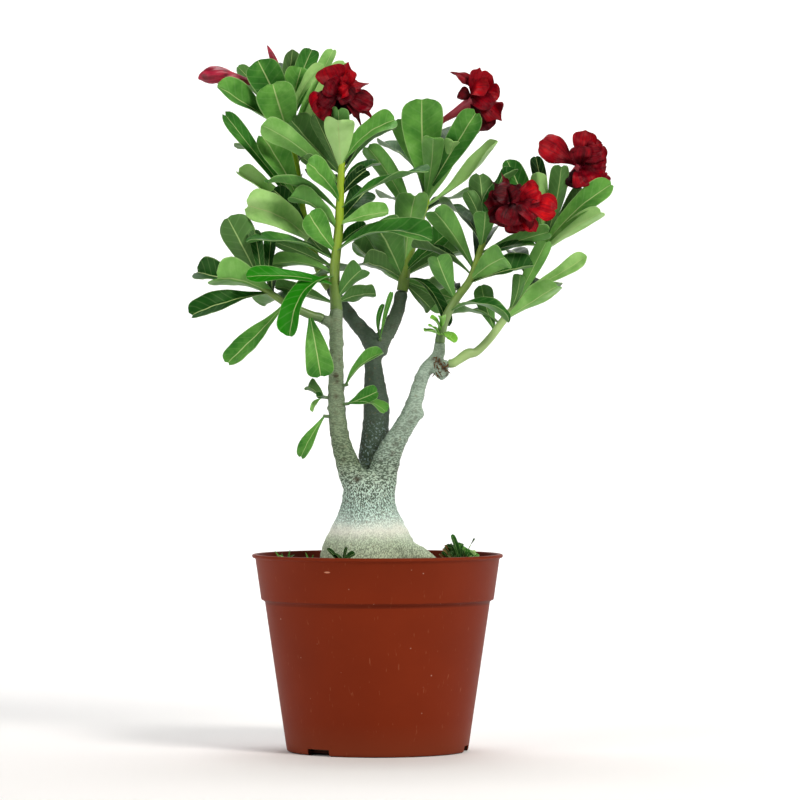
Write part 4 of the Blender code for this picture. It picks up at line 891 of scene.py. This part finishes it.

# Each shoot: its CAD node, its stem and stalks as x, y, z and radius, then its leaves. A leaf placed from
# the photograph has root height, tip, width, facing, bow and shade; the shade is the leaf's own tone with
# painted shade in it, darker for leaves deep in the crown. One set by the spiral at the back has root
# height, tip and width, and gets a dark shade drawn at random as painted shade.
SHOOTS = (
    (
        "shoot_leader",
        (
            (-37, -14, 396.3, 5.7), (-37, -14, 400, 5.4), (-38, -15, 414, 4.8), (-38, -15, 437, 4.5),
            (-35, -16, 464, 4.2), (-34, -17, 482, 3.9), (-33, -18, 504, 3.5), (-32, -18, 527, 3), (-32, -17, 540, 2.4),
        ),
        (((-32, -17, 536, 2.4), (-32.5, -12.4, 547, 2.2), (-33, -8, 558, 2.1), (-34, 0, 576, 2)),),
        (
            (520, (-35, -46, 565), 27, -90, 0.06, 0.85), (526, (17, -25, 568), 22, 45, 0.12, 0.6),
            (486, (48, -45, 520), 28, 25, 0.08, 0.45), (448, (49, -60, 459), 30, 35, 0.14, 0.5),
            (472, (11, -35, 483), 18, 60, 0.08, 0.65), (405, (-13, -40, 433), 20, -60, 0.05, 0.45),
            (402, (-1, -9, 412), 26, -45, 0.05, 0.4), (492, (-64, -45, 527), 25, 50, 0.08, 0.55),
            (466, (-78, -35, 498), 22, -20, 0.1, 0.55), (448, (-62, -30, 483), 25, 60, 0.04, 0.58),
            (483, (-99, -50, 509), 18, -35, 0.14, 0.5), (440, (-118, -40, 457), 24, 25, 0.1, 0.5),
            (418, (-117, -50, 424), 16, 50, 0.1, 2), (428, (-96, -10, 439), 16, -50, 0.1, 0.6),
            (426, (-78, -54, 371), 26, (-0.3, -0.6, 0.74), 0.22, 2), (401, (-94, 15, 420), 18, -50, 0.05, 0.4),
            (518, (-79, 5, 569), 29, -70, 0.05, 0.4), (508, (-104, -30, 562), 22, -55, 0.14, 0.65),
            (522, (-3, 20, 563), 18, 80, 0.05, 0.3), (508, (2, -5, 530), 16, 30, 0.06, 0.4),
            (474, (-9, 10, 506), 24, 70, 0.06, 0.3), (520, (-34, -43, 577), 17, -90, 0.05, 0.5),
            (490, (-67, -24, 533), 13, -60, 0.14, 0.12), (518, (-57, -10, 573), 14, -60, 0.05, 0.2),
            (497, (-9, -14, 522), 14, 60, 0.1, 0.12), (452, (-9, -8, 473), 15, 40, 0.1, 0.3),
            (440, (-60, -22, 461), 14, -50, 0.08, 0.15), (433, (-92, -20, 458), 14, -50, 0.08, 0.3),
            (491, (-59, 45, 517), 25.4), (513, (18, -10, 562), 27.7),
        ),
    ),
    (
        "shoot_upper_left",
        (
            (-43.2, 28, 417.2, 4.8), (-45.4, 28.3, 420.2, 4.8), (-50, 29, 428, 4.6), (-62, 30, 459, 4.2),
            (-70, 30, 495, 3.9), (-74, 30, 527, 3.6), (-80, 29, 554, 3.2), (-84, 28, 570, 2.4),
        ),
        (
            (
                (-84, 28, 566, 2.2), (-88.4, 23.9, 577.7, 2.1), (-93, 20, 588, 2), (-98.4, 16.9, 594.2, 2.1),
                (-104, 14, 599, 2.2),
            ),
            ((-84, 28, 566, 2), (-86.1, 29.1, 578.5, 1.9), (-88, 30, 590, 1.8), (-90, 30, 606, 1.8)),
        ),
        (
            (553, (-95, -3, 602), 36, 75, 0.08, 0.6), (556, (-145, -6, 598), 25, 45, 0.02, 0.55),
            (565, (-108, 4, 622), 32, 80, 0.05, 0.5), (562, (-69, 25, 617), 25, 85, 0.08, 0.55),
            (560, (-59, 40, 636), 18, 70, 0.08, 0.5), (565, (-77, 50, 635), 16, -80, 0.08, 0.25),
            (558, (-50, 5, 620), 13, 40, 0.08, 0.75), (553, (-40, 55, 636), 14, 60, 0.08, 0.7),
            (544, (-29, 30, 624), 18, 60, 0.08, 0.75), (567, (-128, 45, 620), 14, -60, 0.08, 0.4),
            (488, (-139, -5, 575), 15, 60, 0.02, 0.48), (484, (-107, 6, 556), 28, 45, 0.05, 0.6),
            (470, (-95, 12, 506), 18, 60, 0.08, 0.25), (474, (-128, 30, 525), 20, 50, 0, 0.8),
            (456, (-120, -10, 490), 36, 60, 0.16, 0.74), (502.5, (-82, 93, 517), 22), (517.5, (-131, 61, 546), 22.5),
            (527.5, (-50, 86, 553), 23.6), (542.5, (-105, 79, 596), 27.2), (552.5, (-32, 62, 594), 22.2),
            (567.5, (-81, 104, 624), 22.8),
        ),
    ),
    (
        "shoot_left",
        (
            (-49.3, -16, 388.1, 4.3), (-52.5, -16.6, 389.8, 4.2), (-58, -18, 391, 4), (-70, -21, 396, 3.7),
            (-82, -24, 402, 3.3), (-94, -27, 410, 3), (-104, -30, 416, 2.5),
        ),
        (),
        (
            (416, (-164, -5, 431), 27, 45, 0.04, 0.3), (408, (-144, -60, 424), 31, -50, 0.08, 0.6),
            (411, (-167, -45, 389), 26, 35, 0.05, 0.35), (402, (-135, -40, 348), 24, 35, -0.04, 0.55),
            (392, (-50, -30, 335), 25, 75, 0.1, 0.55), (414, (-134, -20, 480), 31, -70, 0, 0.3),
            (415, (-110, -24, 468), 12, 60, 0.04, 0.35), (412, (-95, -5, 461), 11, 60, 0.08, 0.3),
            (397, (-104, 33, 402), 27.7), (402, (-27, 21, 433), 25.2), (410, (-91, 39, 441), 25.4),
        ),
    ),
    (
        "shoot_centre",
        (
            (22.1, 29, 414.3, 5.2), (22.9, 29.4, 417.9, 5.2), (26, 30, 437, 4.9), (33, 32, 464, 4.4),
            (42, 34, 491, 3.9), (47, 35, 513, 3.3), (49, 35, 524, 2.4),
        ),
        (((49, 35, 520, 2.4), (50.4, 33.3, 534.6, 2.2), (52, 31, 548, 2), (54.4, 26.8, 557.6, 2), (57, 22, 566, 2)),),
        (
            (504, (40, 14, 589), 38, 85, 0.04, 0.6), (504, (21, 17, 571), 23, -70, 0.05, 0.6),
            (503, (90, -26, 575), 25, 80, 0.03, 0.52), (492, (69, -12, 548), 18, -80, 0.08, 0.75),
            (495, (50, -26, 552), 20, -85, 0.06, 0.6), (490, (108, 5, 549), 19, 40, -0.06, 0.8),
            (470, (-10, 15, 545), 20, -50, 0.1, 0.55), (430, (34, -5, 501), 29, -80, 0.06, 0.6),
            (424, (-2, -6, 476), 38, -75, 0.03, 0.45), (421, (-23, 27, 459), 30, -35, 0, 0.4),
            (432, (68, 0, 469), 23, 50, 0.06, 0.45), (427, (79, 10, 452), 25, -45, 0.06, 0.4),
            (424, (69, 28, 407), 26, -70, 0.1, 0.55), (421, (62, 50, 397), 20, -60, 0.1, 0.5),
            (425, (64, -9, 380), 13, 40, 0.25, 0.3), (424, (-14, 10, 440), 26, -40, 0.1, 0.2),
            (422, (48, 12, 398), 16, -60, 0.1, 0.12), (474, (2, 93, 503), 23.6), (482, (90, 69, 501), 28.8),
            (494, (46, 102, 524), 27.3), (506, (1, 72, 551), 22.9), (514, (78, 78, 567), 23.4),
        ),
    ),
    (
        "shoot_right_inner",
        (
            (56, -20, 367.3, 4.6), (56.4, -20.4, 371, 4.5), (59, -21, 383, 4.2), (64, -22, 395, 4), (72, -23, 408, 3.7),
            (83, -24, 423, 3.4), (89, -24, 440, 3.1), (94, -24, 455, 2.8), (97, -24, 466, 2.2),
        ),
        (
            (
                (97, -24, 464, 2.2), (98.9, -22.8, 468.6, 2.1), (101, -22, 473, 2), (103.4, -22.3, 476.6, 2),
                (106, -23, 480, 2),
            ),
        ),
        (
            (432, (50, -45, 483), 23, -50, 0.22, 0.55), (440, (142, -28, 455), 13, 40, 0.12, 0.35),
            (405, (53, -40, 445), 22, -70, 0.03, 0.5),
            (452, (92, 5, 521), 23, -80, 0.05, 0.3), (459, (80, -10, 504), 14, -60, 0.08, 0.3),
            (450, (96, -50, 483), 20, -80, 0.05, 0.5), (422, (114, -60, 443), 26, -75, 0.05, 0.6),
            (419, (140, -22, 437), 26, 35, 0.06, 0.35), (446, (154, -40, 465), 16, -60, 0.1, 0.5),
            (393, (117, -45, 384), 22, 20, 0.22, 0.4), (374, (47, -37, 389), 8, 40, 0.1, 1.3),
            (372, (42, -36, 377), 9, 30, 0.1, 1.3), (373, (70, -38, 367), 9, 40, 0.2, 1.3),
            (376, (57, -40, 391), 7, 40, 0.1, 1.3), (371, (46, -40, 382), 6, 40, 0.1, 1.3),
            (372, (64, -42, 374), 7, 30, 0.1, 1.3),
            (411, (51, 23, 415), 24.6), (421, (140, 15, 443), 29), (426.5, (30, -13, 452), 22.7),
            (437, (103, 44, 472), 25.5), (453, (60, 28, 490), 27.2), (463.4, (126, -13, 522), 25.9),
        ),
    ),
    (
        "shoot_right_outer",
        (
            (64.3, -20, 348, 3.9), (67.9, -20.6, 348.6, 4), (72, -20, 351, 3.9), (81, -18, 357, 4.6),
            (89, -17, 359, 3.8), (101, -14, 371, 3.6), (113, -10, 387, 3.5), (124, -5, 401, 3.3), (135, 0, 423, 3.1),
            (146, 4, 446, 2.8), (153, 6, 460, 2.2),
        ),
        (((153, 6, 456, 2.3), (156.5, 7.2, 471.1, 2.1), (160, 8, 485, 2), (163.5, 7.2, 495.6, 2), (167, 6, 505, 2)),),
        (
            (377, (93, 15, 421), 18, -80, 0, 0.45), (414, (187, -10, 446), 16, 60, -0.04, 0.72),
            (386, (161, -35, 418), 22, -55, 0.08, 0.65), (395, (152, -24, 460), 16, -70, 0.08, 0.55),
            (450, (211, -33, 509), 23, 60, 0.08, 0.6), (446, (200, -42, 483), 17, -60, 0.02, 0.8),
            (455, (165, -25, 525), 18, -80, 0.05, 0.35), (456, (143, 25, 537), 13, 80, 0.05, 0.15),
            (456, (144, -10, 520), 16, -80, 0.05, 0.75), (452, (116, 0, 532), 20, 70, 0.08, 0.4),
            (392, (128, -18, 428), 12, -70, 0.05, 0.35), (452, (186, -4, 506), 18, -70, 0.05, 0.2),
            (383, (64, 29, 394), 24.4), (399, (161, 47, 417), 26.2), (423.6, (121, 61, 452), 22.5),
            (440, (198, 25, 485), 24.6), (448, (97, 23, 498), 28.3),
        ),
    ),
)
LEAF_SIZES = {
    "Columns": 11, "Rows": 22, "Thickness": 0.9 * MM, "Waves": 9.0, "Crinkle": 0.35, "Sides": 16, "Blade": leaf_wax,
    "Stem": stem_skin,
}
BACK_BOW = 0.1
draw = random.Random(11)
for name, stem, stalks, leaves in SHOOTS:
    path = smooth_path(stem, 6)
    blades = []
    for root_height, tip, width, *rest in leaves:
        root = point_at_height(path, root_height)
        if rest:
            face, bow, shade = rest
            blades.append(blade(root, tip, width, facing(face), bow, draw, shade, notch=draw.uniform(0, 0.045)))
        else:
            outward = Vector((tip[0] - root.x, tip[1] - root.y, 0)).normalized()
            up = Vector((0, 0, 1)) - outward * 0.5
            # A leaf at the back gets a dark shade: painted shade deep in the crown.
            blades.append(blade(root, tip, width, up, BACK_BOW, draw, draw.uniform(0.05, 0.4)))
    paths = [path, *(smooth_path(stalk, 5) for stalk in stalks)]
    piece = leafy(name + "_foliage", paths, blades, leaf_tree, LEAF_SIZES)
    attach(piece, "root")
    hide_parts(name)

# Sprouts on the old wood. Short green pegs with one or two young leaves, in small sockets on the trunks.
# Each: its CAD node, the trunk's middle, its way out, the trunk's radius there, then its leaves as tip,
# width, facing, bow and shade. The shade is the leaf's own tone with painted shade in it.
SPROUTS = (
    (
        "sprout_left", (-37, -12, 317), (-1, -0.25, 0.1), 8,
        (
            ((-63, -20, 329), 13, -60, 0.08, 0.3), ((-54, -26, 318), 9, 60, 0.1, 0.35),
            ((-59, -22, 305), 6, 30, 0.08, 0.7),
        ),
    ),
    ("sprout_spoon", (-36, -12, 300), (-1, -0.3, 0.1), 8.5, (((-70, -24, 263), 13, 50, 0.15, 0.55),)),
    ("sprout_right", (-37.5, -12.5, 327), (0.9, -0.45, 0.2), 7.9, (((6, -27, 358), 17, 40, 0.16, 0.58),)),
    (
        "sprout_folded", (-36.5, -12, 311), (0.85, -0.5, 0.1), 8.2,
        (((9, -32, 306), 16, 10, 0.12, 0.6), ((1, -28, 323), 15, 75, 0.1, 0.5)),
    ),
    (
        "sprout_fork", (0, 23, 364), (0.2, -0.8, 0.55), 8.6,
        (((13, 6, 414), 5, 60, 0.05, 0.6), ((5, 4, 403), 5, 40, 0.10, 0.45)),
    ),
)
for name, seat, way, radius, leaves in SPROUTS:
    outward = Vector(way).normalized()
    path = [Vector((*(Vector(seat) + outward * (radius + reach)), 1.5)) for reach in (-2.5, 1, 4.5)]
    root = path[-1].xyz - outward * 1.2
    blades = [blade(root, tip, width, facing(face), bow, draw, shade) for tip, width, face, bow, shade in leaves]
    piece = leafy(name + "_leaves", [smooth_path(path, 3)], blades, leaf_tree, LEAF_SIZES)
    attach(piece, "root")
    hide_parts(name)

# Blooms. Double flowers of deep crimson, each a flared tube with three layers of ruffled petals, some
# with a drawn-out curled tip. They face the way the photograph shows.
PETAL_OUTLINE = (
    (0, 0.15), (0.15, 0.22), (0.35, 0.45), (0.55, 0.78), (0.7, 0.97), (0.82, 1), (0.91, 0.89), (0.97, 0.66), (1, 0.32),
)
petal_tree = blade_tree("ruffled_petals", PETAL_OUTLINE)

# Velvety petal, grown: deep crimson with darker edges, streaked along, darkened towards its base by painted shade, and
# pinker down in the throat.
velvet, tree, shader, place = finish_material("velvety crimson petal", Roughness=0.5, Specular_IOR_Level=0.12)
across, along, tone_and_shade = (
    add(tree, "Attribute", attribute_name=label).outputs["Fac"] for label in ("across", "along", "tone_and_shade")
)
streak_place = add(tree, "CombineXYZ", (across, along, tone_and_shade))
streak_place = add(tree, "VectorMath", (streak_place, (13, 2, 1)), operation="MULTIPLY")
streaks = add(tree, "TexNoise", {"Vector": streak_place, "Scale": 1, "Detail": 3})
cloud = add(tree, "TexNoise", {"Vector": place, "Scale": 110, "Detail": 3})
# The tone starts from each petal's given shade: its own tone with painted shade for petals in shadow.
tone = tone_and_shade
for clouds, share in ((streaks, 0.6), (cloud, 0.55)):
    tone = add(tree, "Math", (clouds, share, tone), operation="MULTIPLY_ADD")
# Painted shade: the petal darkens towards the throat.
throat_shade = add(tree, "MapRange", (along, 0.75, 0.1, 0.6, 0.88))
tone = add(tree, "Math", (tone, throat_shade), operation="SUBTRACT")
base = add(tree, "ValToRGB", (tone,))
set_stops(base.color_ramp, ((0, "#1a0004"), (0.25, "#3c0008"), (0.5, "#700012"), (0.75, "#a20012"), (1, "#d40a10")))
off = add(tree, "Math", (across,), operation="ABSOLUTE")
edge = add(tree, "Math", (off, along), operation="MAXIMUM")
edging = add(tree, "MapRange", (edge, 0.8, 1, 0, 0.35))
throat = add(tree, "MapRange", (along, 0.22, 0.02, 0, 0.5))
coat(tree, shader, base, ((edging, "#36000a"), (throat, "#b81c44")), streaks, 0.4, 0.001)

# Flower tube, grown: a thin waxy tube of pinkish red.
tube_skin = mottled(
    "pink-red flower tube", "#8f1630", "#c8485a", {"Scale": 130, "Detail": 3}, Roughness=0.5, Specular_IOR_Level=0.4
)

# Each bloom: its CAD node, its tube, the way it looks, then its petals as tip, width, facing, bow, shade,
# how far the end is notched or drawn out, and how far in front of the throat they start.
# A petal's shade is its own tone with painted shade in it, darker for petals in shadow.
BLOOMS = (
    (
        "bloom_leader",
        ((-34.4, 4, 579, 2.4), (-34.8, 0, 581, 2.6), (-35, -8, 585, 3.4), (-35, -18, 587.5, 4.6), (-35, -24, 588, 5.5)),
        (0, -1, 0.12),
        (
            ((-46, -30, 613), 27, 90, 0.1, 0.62, 0, 0), ((-26, -27, 617), 24, 80, 0.12, 0.75, -0.2, 0),
            ((-9, -30, 601), 15, 70, 0.16, 0.62, -0.3, 0), ((-4, -30, 578), 21, 80, 0.12, 0.5, 0, 0),
            ((-11, -32, 562), 9, 60, 0.3, 0.4, -0.3, 0), ((-1, -31, 568), 10, 70, 0.3, 0.45, -0.3, 0),
            ((-58, -32, 574), 27, 90, 0.12, 0.62, 0, 0), ((-49, -29, 565), 24, 100, 0.1, 0.5, 0, 0),
            ((-30, -28, 568), 20, 90, 0.12, 0.25, 0, 0), ((-45, -37, 600), 21, 70, 0.16, 0.5, 0, 2),
            ((-27, -36, 596), 19, 70, 0.16, 0.72, -0.06, 2), ((-50, -38, 578), 20, 70, 0.2, 0.4, 0, 3),
            ((-23, -38, 582), 18, 60, 0.2, 0.35, 0, 3),
        ),
    ),
    (
        "bloom_centre",
        ((57.2, 21.6, 566.2, 2.2), (60, 20, 569, 2.6), (70, 17, 575, 3.8), (79, 13.5, 581, 4.8), (87, 10, 586, 5.5)),
        (0.8, -0.5, 0.2),
        (
            ((92, -6, 614), 15, 60, 0.12, 0.65, -0.06, 0), ((103, -8, 607), 20, 60, 0.14, 0.7, 0, 0),
            ((109, -10, 588), 23, 60, 0.12, 0.65, 0.02, 0), ((111, -12, 567), 22, 60, 0.12, 0.6, -0.12, 0),
            ((100, -8, 558), 22, 80, 0.12, 0.35, 0, 0), ((68, 4, 612), 12, (0.6, -0.5, 0.5), 0.25, 0.55, -0.1, 0),
            ((73, 6, 594), 13, 90, 0.2, 0.35, 0, 0), ((82, 14, 551), 22, -60, 0.1, 0.2, -0.1, 0),
            ((101, 12, 603), 20, 20, 0.1, 0.45, 0, 0), ((104, 14, 580), 22, 20, 0.1, 0.35, 0, 0),
            ((100, -17, 596), 20, 60, 0.2, 0.75, 0, 2), ((101, -18, 576), 20, 60, 0.2, 0.55, 0, 2),
        ),
    ),
    (
        "bloom_right_outer",
        (
            (167.3, 5.9, 505.3, 2.2), (169.5, 4.5, 509, 2.6), (175, 0, 517, 3.6), (180, -4.5, 522, 4.6),
            (184, -8, 526, 5.5),
        ),
        (0.72, -0.68, 0.1),
        (
            ((145, -12, 547), 28, 80, 0.04, 0.7, -0.03, 0), ((187, -14, 558), 22, 80, 0.1, 0.65, -0.03, 0),
            ((203, -14, 545), 21, 70, 0.12, 0.55, 0.05, 0), ((206, -14, 526), 21, 70, 0.12, 0.6, 0.04, 0),
            ((211, -12, 504), 18, 70, 0.08, 0.6, -0.2, 0), ((172, -10, 507), 20, 80, 0.08, 0.15, 0, 0),
            ((198, 10, 545), 20, 20, 0.1, 0.4, 0, 0), ((200, 12, 522), 20, 20, 0.1, 0.35, 0, 0),
            ((192, -26, 507), 32, 70, 0.1, 0.6, 0, 3), ((183, -22, 543), 20, 70, 0.16, 0.5, 0.03, 2),
            ((201, -22, 537), 18, 60, 0.2, 0.55, 0, 1),
        ),
    ),
    (
        "bloom_right_inner",
        (
            (106.3, -23.3, 480.3, 2.2), (108.5, -25.5, 483, 2.6), (113, -31, 487, 3.6), (118, -38, 490, 4.6),
            (122, -44, 491, 5.5),
        ),
        (0.3, -0.9, 0.25),
        (
            ((145, -52, 503), 23, 80, 0.12, 0.76, 0.05, 0), ((160, -56, 483), 23, 80, 0.12, 0.8, 0.06, 0),
            ((141, -52, 465), 14, 80, 0.1, 0.7, -0.03, 0), ((127, -50, 464), 27, 90, 0.12, 0.5, 0.04, 0),
            ((100, -46, 474), 22, 90, 0.1, 0.3, -0.1, 0), ((95, -44, 491), 23, 90, 0.1, 0.4, -0.14, 0),
            ((105, -42, 507), 20, 80, 0.1, 0.25, -0.14, 0), ((111, -40, 518), 7, 80, 0.2, 0.35, -0.3, 0),
            ((101, -40, 513), 6, 80, 0.2, 0.25, -0.3, 0), ((127, -42, 508), 21, 90, 0.1, 0.3, -0.14, 0),
            ((104, -56, 500), 24, 60, 0.2, 0.3, -0.1, 2), ((116, -60, 470), 26, 60, 0.24, 0.42, 0, 2),
            ((140, -58, 475), 22, 60, 0.24, 0.56, 0.03, 2), ((126, -58, 501), 16, 60, 0.3, 0.35, -0.06, 3),
        ),
    ),
)
PETAL_SIZES = {
    "Columns": 17, "Rows": 20, "Thickness": 0.7 * MM, "Waves": 9.0, "Crinkle": 0.6, "Sides": 20, "Blade": velvet,
    "Stem": tube_skin,
}
RUFFLE = {"fold": 0.3, "wave": 0.26, "twist": 0.3, "sway": 1.5, "curl": 2.5}
draw = random.Random(5)
for name, flower_tube, way, petals in BLOOMS:
    looking = Vector(way).normalized()
    throat_at = Vector(flower_tube[-1][:3])
    blades = []
    for tip, width, face, bow, shade, notch, depth in petals:
        root = throat_at + looking * (depth * 0.6 - 3)
        blades.append(blade(root, tip, width, facing(face), bow, draw, shade, notch=notch, **RUFFLE))
    piece = leafy(name + "_flower", [smooth_path(flower_tube, 6)], blades, petal_tree, PETAL_SIZES, sharp=60)
    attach(piece, "root")
    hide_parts(name)

# Buds. The long one is still furled, its petals wrapped round each other in a twist, and the small one
# is a pointed tip on its stalk.
BUD_SIDES = 30
FURLS = 5
FURL_TWIST = 0.22
BUDS = (
    ("bud_long", (
        (-104.3, 13.8, 599.2, 2.2), (-108, 13, 600.5, 2.6), (-122, 11, 604, 3.6), (-131, 10, 606.5, 5),
        (-138, 9, 608, 6.8), (-146, 8, 608.6, 8), (-152, 7, 608, 7.4), (-158, 6.4, 606.6, 4.4), (-161.5, 6, 605, 0.8),
    )),
    ("bud_small", (
        (-90, 30, 606.3, 1.9), (-91, 30, 611, 2.3), (-93, 30, 620, 3.3), (-97, 29, 630, 2.4), (-100, 29, 637, 0.5),
    )),
)
# Furled petals, grown: waxy, streaked along the bud, and brown under its foot.
bud_skin, tree, shader, place = finish_material("furled pink-red petals", Roughness=0.4, Specular_IOR_Level=0.35)
furls = add(tree, "Mapping", {"Vector": place, "Scale": (0.2, 1, 1)})
bud_noise = add(tree, "TexNoise", {"Vector": furls, "Scale": 260, "Detail": 3})
streaks = add(tree, "MapRange", (bud_noise, 0.35, 0.65))
spot = add(tree, "SeparateXYZ", (place,))
foot = add(tree, "MapRange", (spot.outputs[0], -0.125, -0.106, 0, 0.7))
low_down = add(tree, "MapRange", (spot.outputs[2], 0.6045, 0.602))
foot = add(tree, "Math", (foot, low_down), operation="MULTIPLY")
coat(tree, shader, linear("#5c0418"), ((streaks, "#ae1c3c"), (foot, "#7c4a36")))
for name, route in BUDS:
    shape = bmesh.new()
    tube(shape, smooth_path(route, 8), BUD_SIDES)
    shape.verts.ensure_lookup_table()
    for ring in range(len(shape.verts) // BUD_SIDES):
        members = shape.verts[ring * BUD_SIDES : (ring + 1) * BUD_SIDES]
        middle = sum((vert.co for vert in members), Vector()) / BUD_SIDES
        for step, vert in enumerate(members):
            furl = math.sin(FURLS * 2 * math.pi * step / BUD_SIDES + ring * FURL_TWIST)
            vert.co = middle + (vert.co - middle) * (1 + 0.09 * min(furl, 0.4))
    piece = piece_from(name + "_petals", shape)
    piece.data.shade_smooth()
    piece.data.materials.append(bud_skin)
    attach(piece, "root")
    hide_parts(name)

# Weeds. Small seedlings and blades of grass that have come up in the soil, with a few dry leaves. Each is
# a tuft of soft blades on thin stalks, rooted in the soil near the pot's wall.
GRASS_OUTLINE = ((0, 0.6), (0.2, 0.85), (0.45, 1), (0.7, 0.8), (0.9, 0.4), (1, 0.03))
grass_tree = blade_tree("grass_blades", GRASS_OUTLINE)
WEED_SIZES = {**LEAF_SIZES, "Columns": 7, "Rows": 10, "Thickness": 0.6 * MM, "Sides": 8}
# Four seedlings make the clump: where each stands, how high it grows and how pale it can be.
SEEDLING_LEAVES = 13
ROOT_DEPTH = 6
clump = []
draw = random.Random(21)
for middle_x, middle_y, top, lightest in (
    (64, -26, 187, 0.5), (73, -20, 188, 0.6), (78, -28, 185, 0.65), (86, -24, 181, 1),
):
    for index in range(SEEDLING_LEAVES):
        turn = 2.4 * index + middle_x
        reach = 2 + 0.45 * index
        tip = (middle_x + reach * math.cos(turn), middle_y + 0.8 * reach * math.sin(turn), top - 0.6 * index)
        width, face, bow = draw.uniform(3.6, 5.2), draw.uniform(20, 80), draw.uniform(0, 0.2)
        clump.append((tip, width, face, bow, lightest * draw.uniform(0.5, 1)))
# Each weed: its CAD node, where it stands, then its leaves as tip, width, facing, bow and shade.
WEEDS = (
    ("weed_clump", (74, -22), (
        *clump, ((66, -32, 196), 5.6, (0.5, -0.8, 0.3), 0.08, 0.4), ((87, -28, 192), 1.6, 60, 0.05, 0.1),
        ((55, -34, 178), 2.6, 40, 0.1, -1), ((58, -38, 183), 2, 60, 0.2, -1), ((60, -30, 186), 1.8, 60, 0.1, -1),
    )),
    (
        "weed_front", (-31, -62),
        (
            ((-45, -66, 184), 5, 40, 0.15, 0.2), ((-19, -68, 180), 6, 40, 0.2, 0.25),
            ((-27, -66, 186), 3, 60, 0.1, 0.15), ((-38, -68, 180), 4, 30, 0.2, 0.3),
            ((-24, -70, 177), 4, 30, 0.2, 0.35),
        ),
    ),
    (
        "grass_left", (-82, -18),
        (
            ((-92, -22, 181), 2, 60, 0.1, 0.6), ((-78, -24, 182), 2, 60, 0.1, 0.5), ((-86, -10, 178), 2, 60, 0.1, 0.4),
            ((-88, -26, 177), 2, 30, 0.2, 0.7), ((-74, -14, 177), 2, 30, 0.25, 0.3),
        ),
    ),
    (
        "grass_middle", (-60, -34),
        (((-64, -38, 180), 2, 60, 0.1, 0.5), ((-57, -32, 178), 2, 60, 0.1, 0.3), ((-67, -30, 175), 2, 30, 0.2, 0.6)),
    ),
)
STALKED_WIDTH = 5.4
for name, (x, y), leaves in WEEDS:
    foot = Vector((x, y, SOIL_LEVEL - ROOT_DEPTH, 1.3))
    paths, blades = [smooth_path([foot, foot + Vector((0, 0, 5, 0)), foot + Vector((0, 0, 10, -0.5))], 3)], []
    for tip, width, face, bow, shade in leaves:
        root = Vector((x, y, SOIL_LEVEL + 2.5))
        if name == "weed_clump" and width < STALKED_WIDTH:
            start, end = foot + Vector((0, 0, ROOT_DEPTH, -0.6)), Vector(tip)
            lean_out = Vector((x + 0.72 * (end.x - x), y + 0.72 * (end.y - y), end.z - 6, 0.4))
            paths.append(smooth_path([start, start.lerp(lean_out, 0.5) + Vector((0, 0, 2, 0)), lean_out], 3))
            root = lean_out.xyz
        blades.append(blade(root, tip, width, facing(face), bow, draw, shade, curl=0.6, sway=0.6))
    growing = grass_tree if name.startswith("grass") else leaf_tree
    piece = leafy(name + "_leaves", paths, blades, growing, WEED_SIZES)
    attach(piece, "root")
    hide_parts(name)
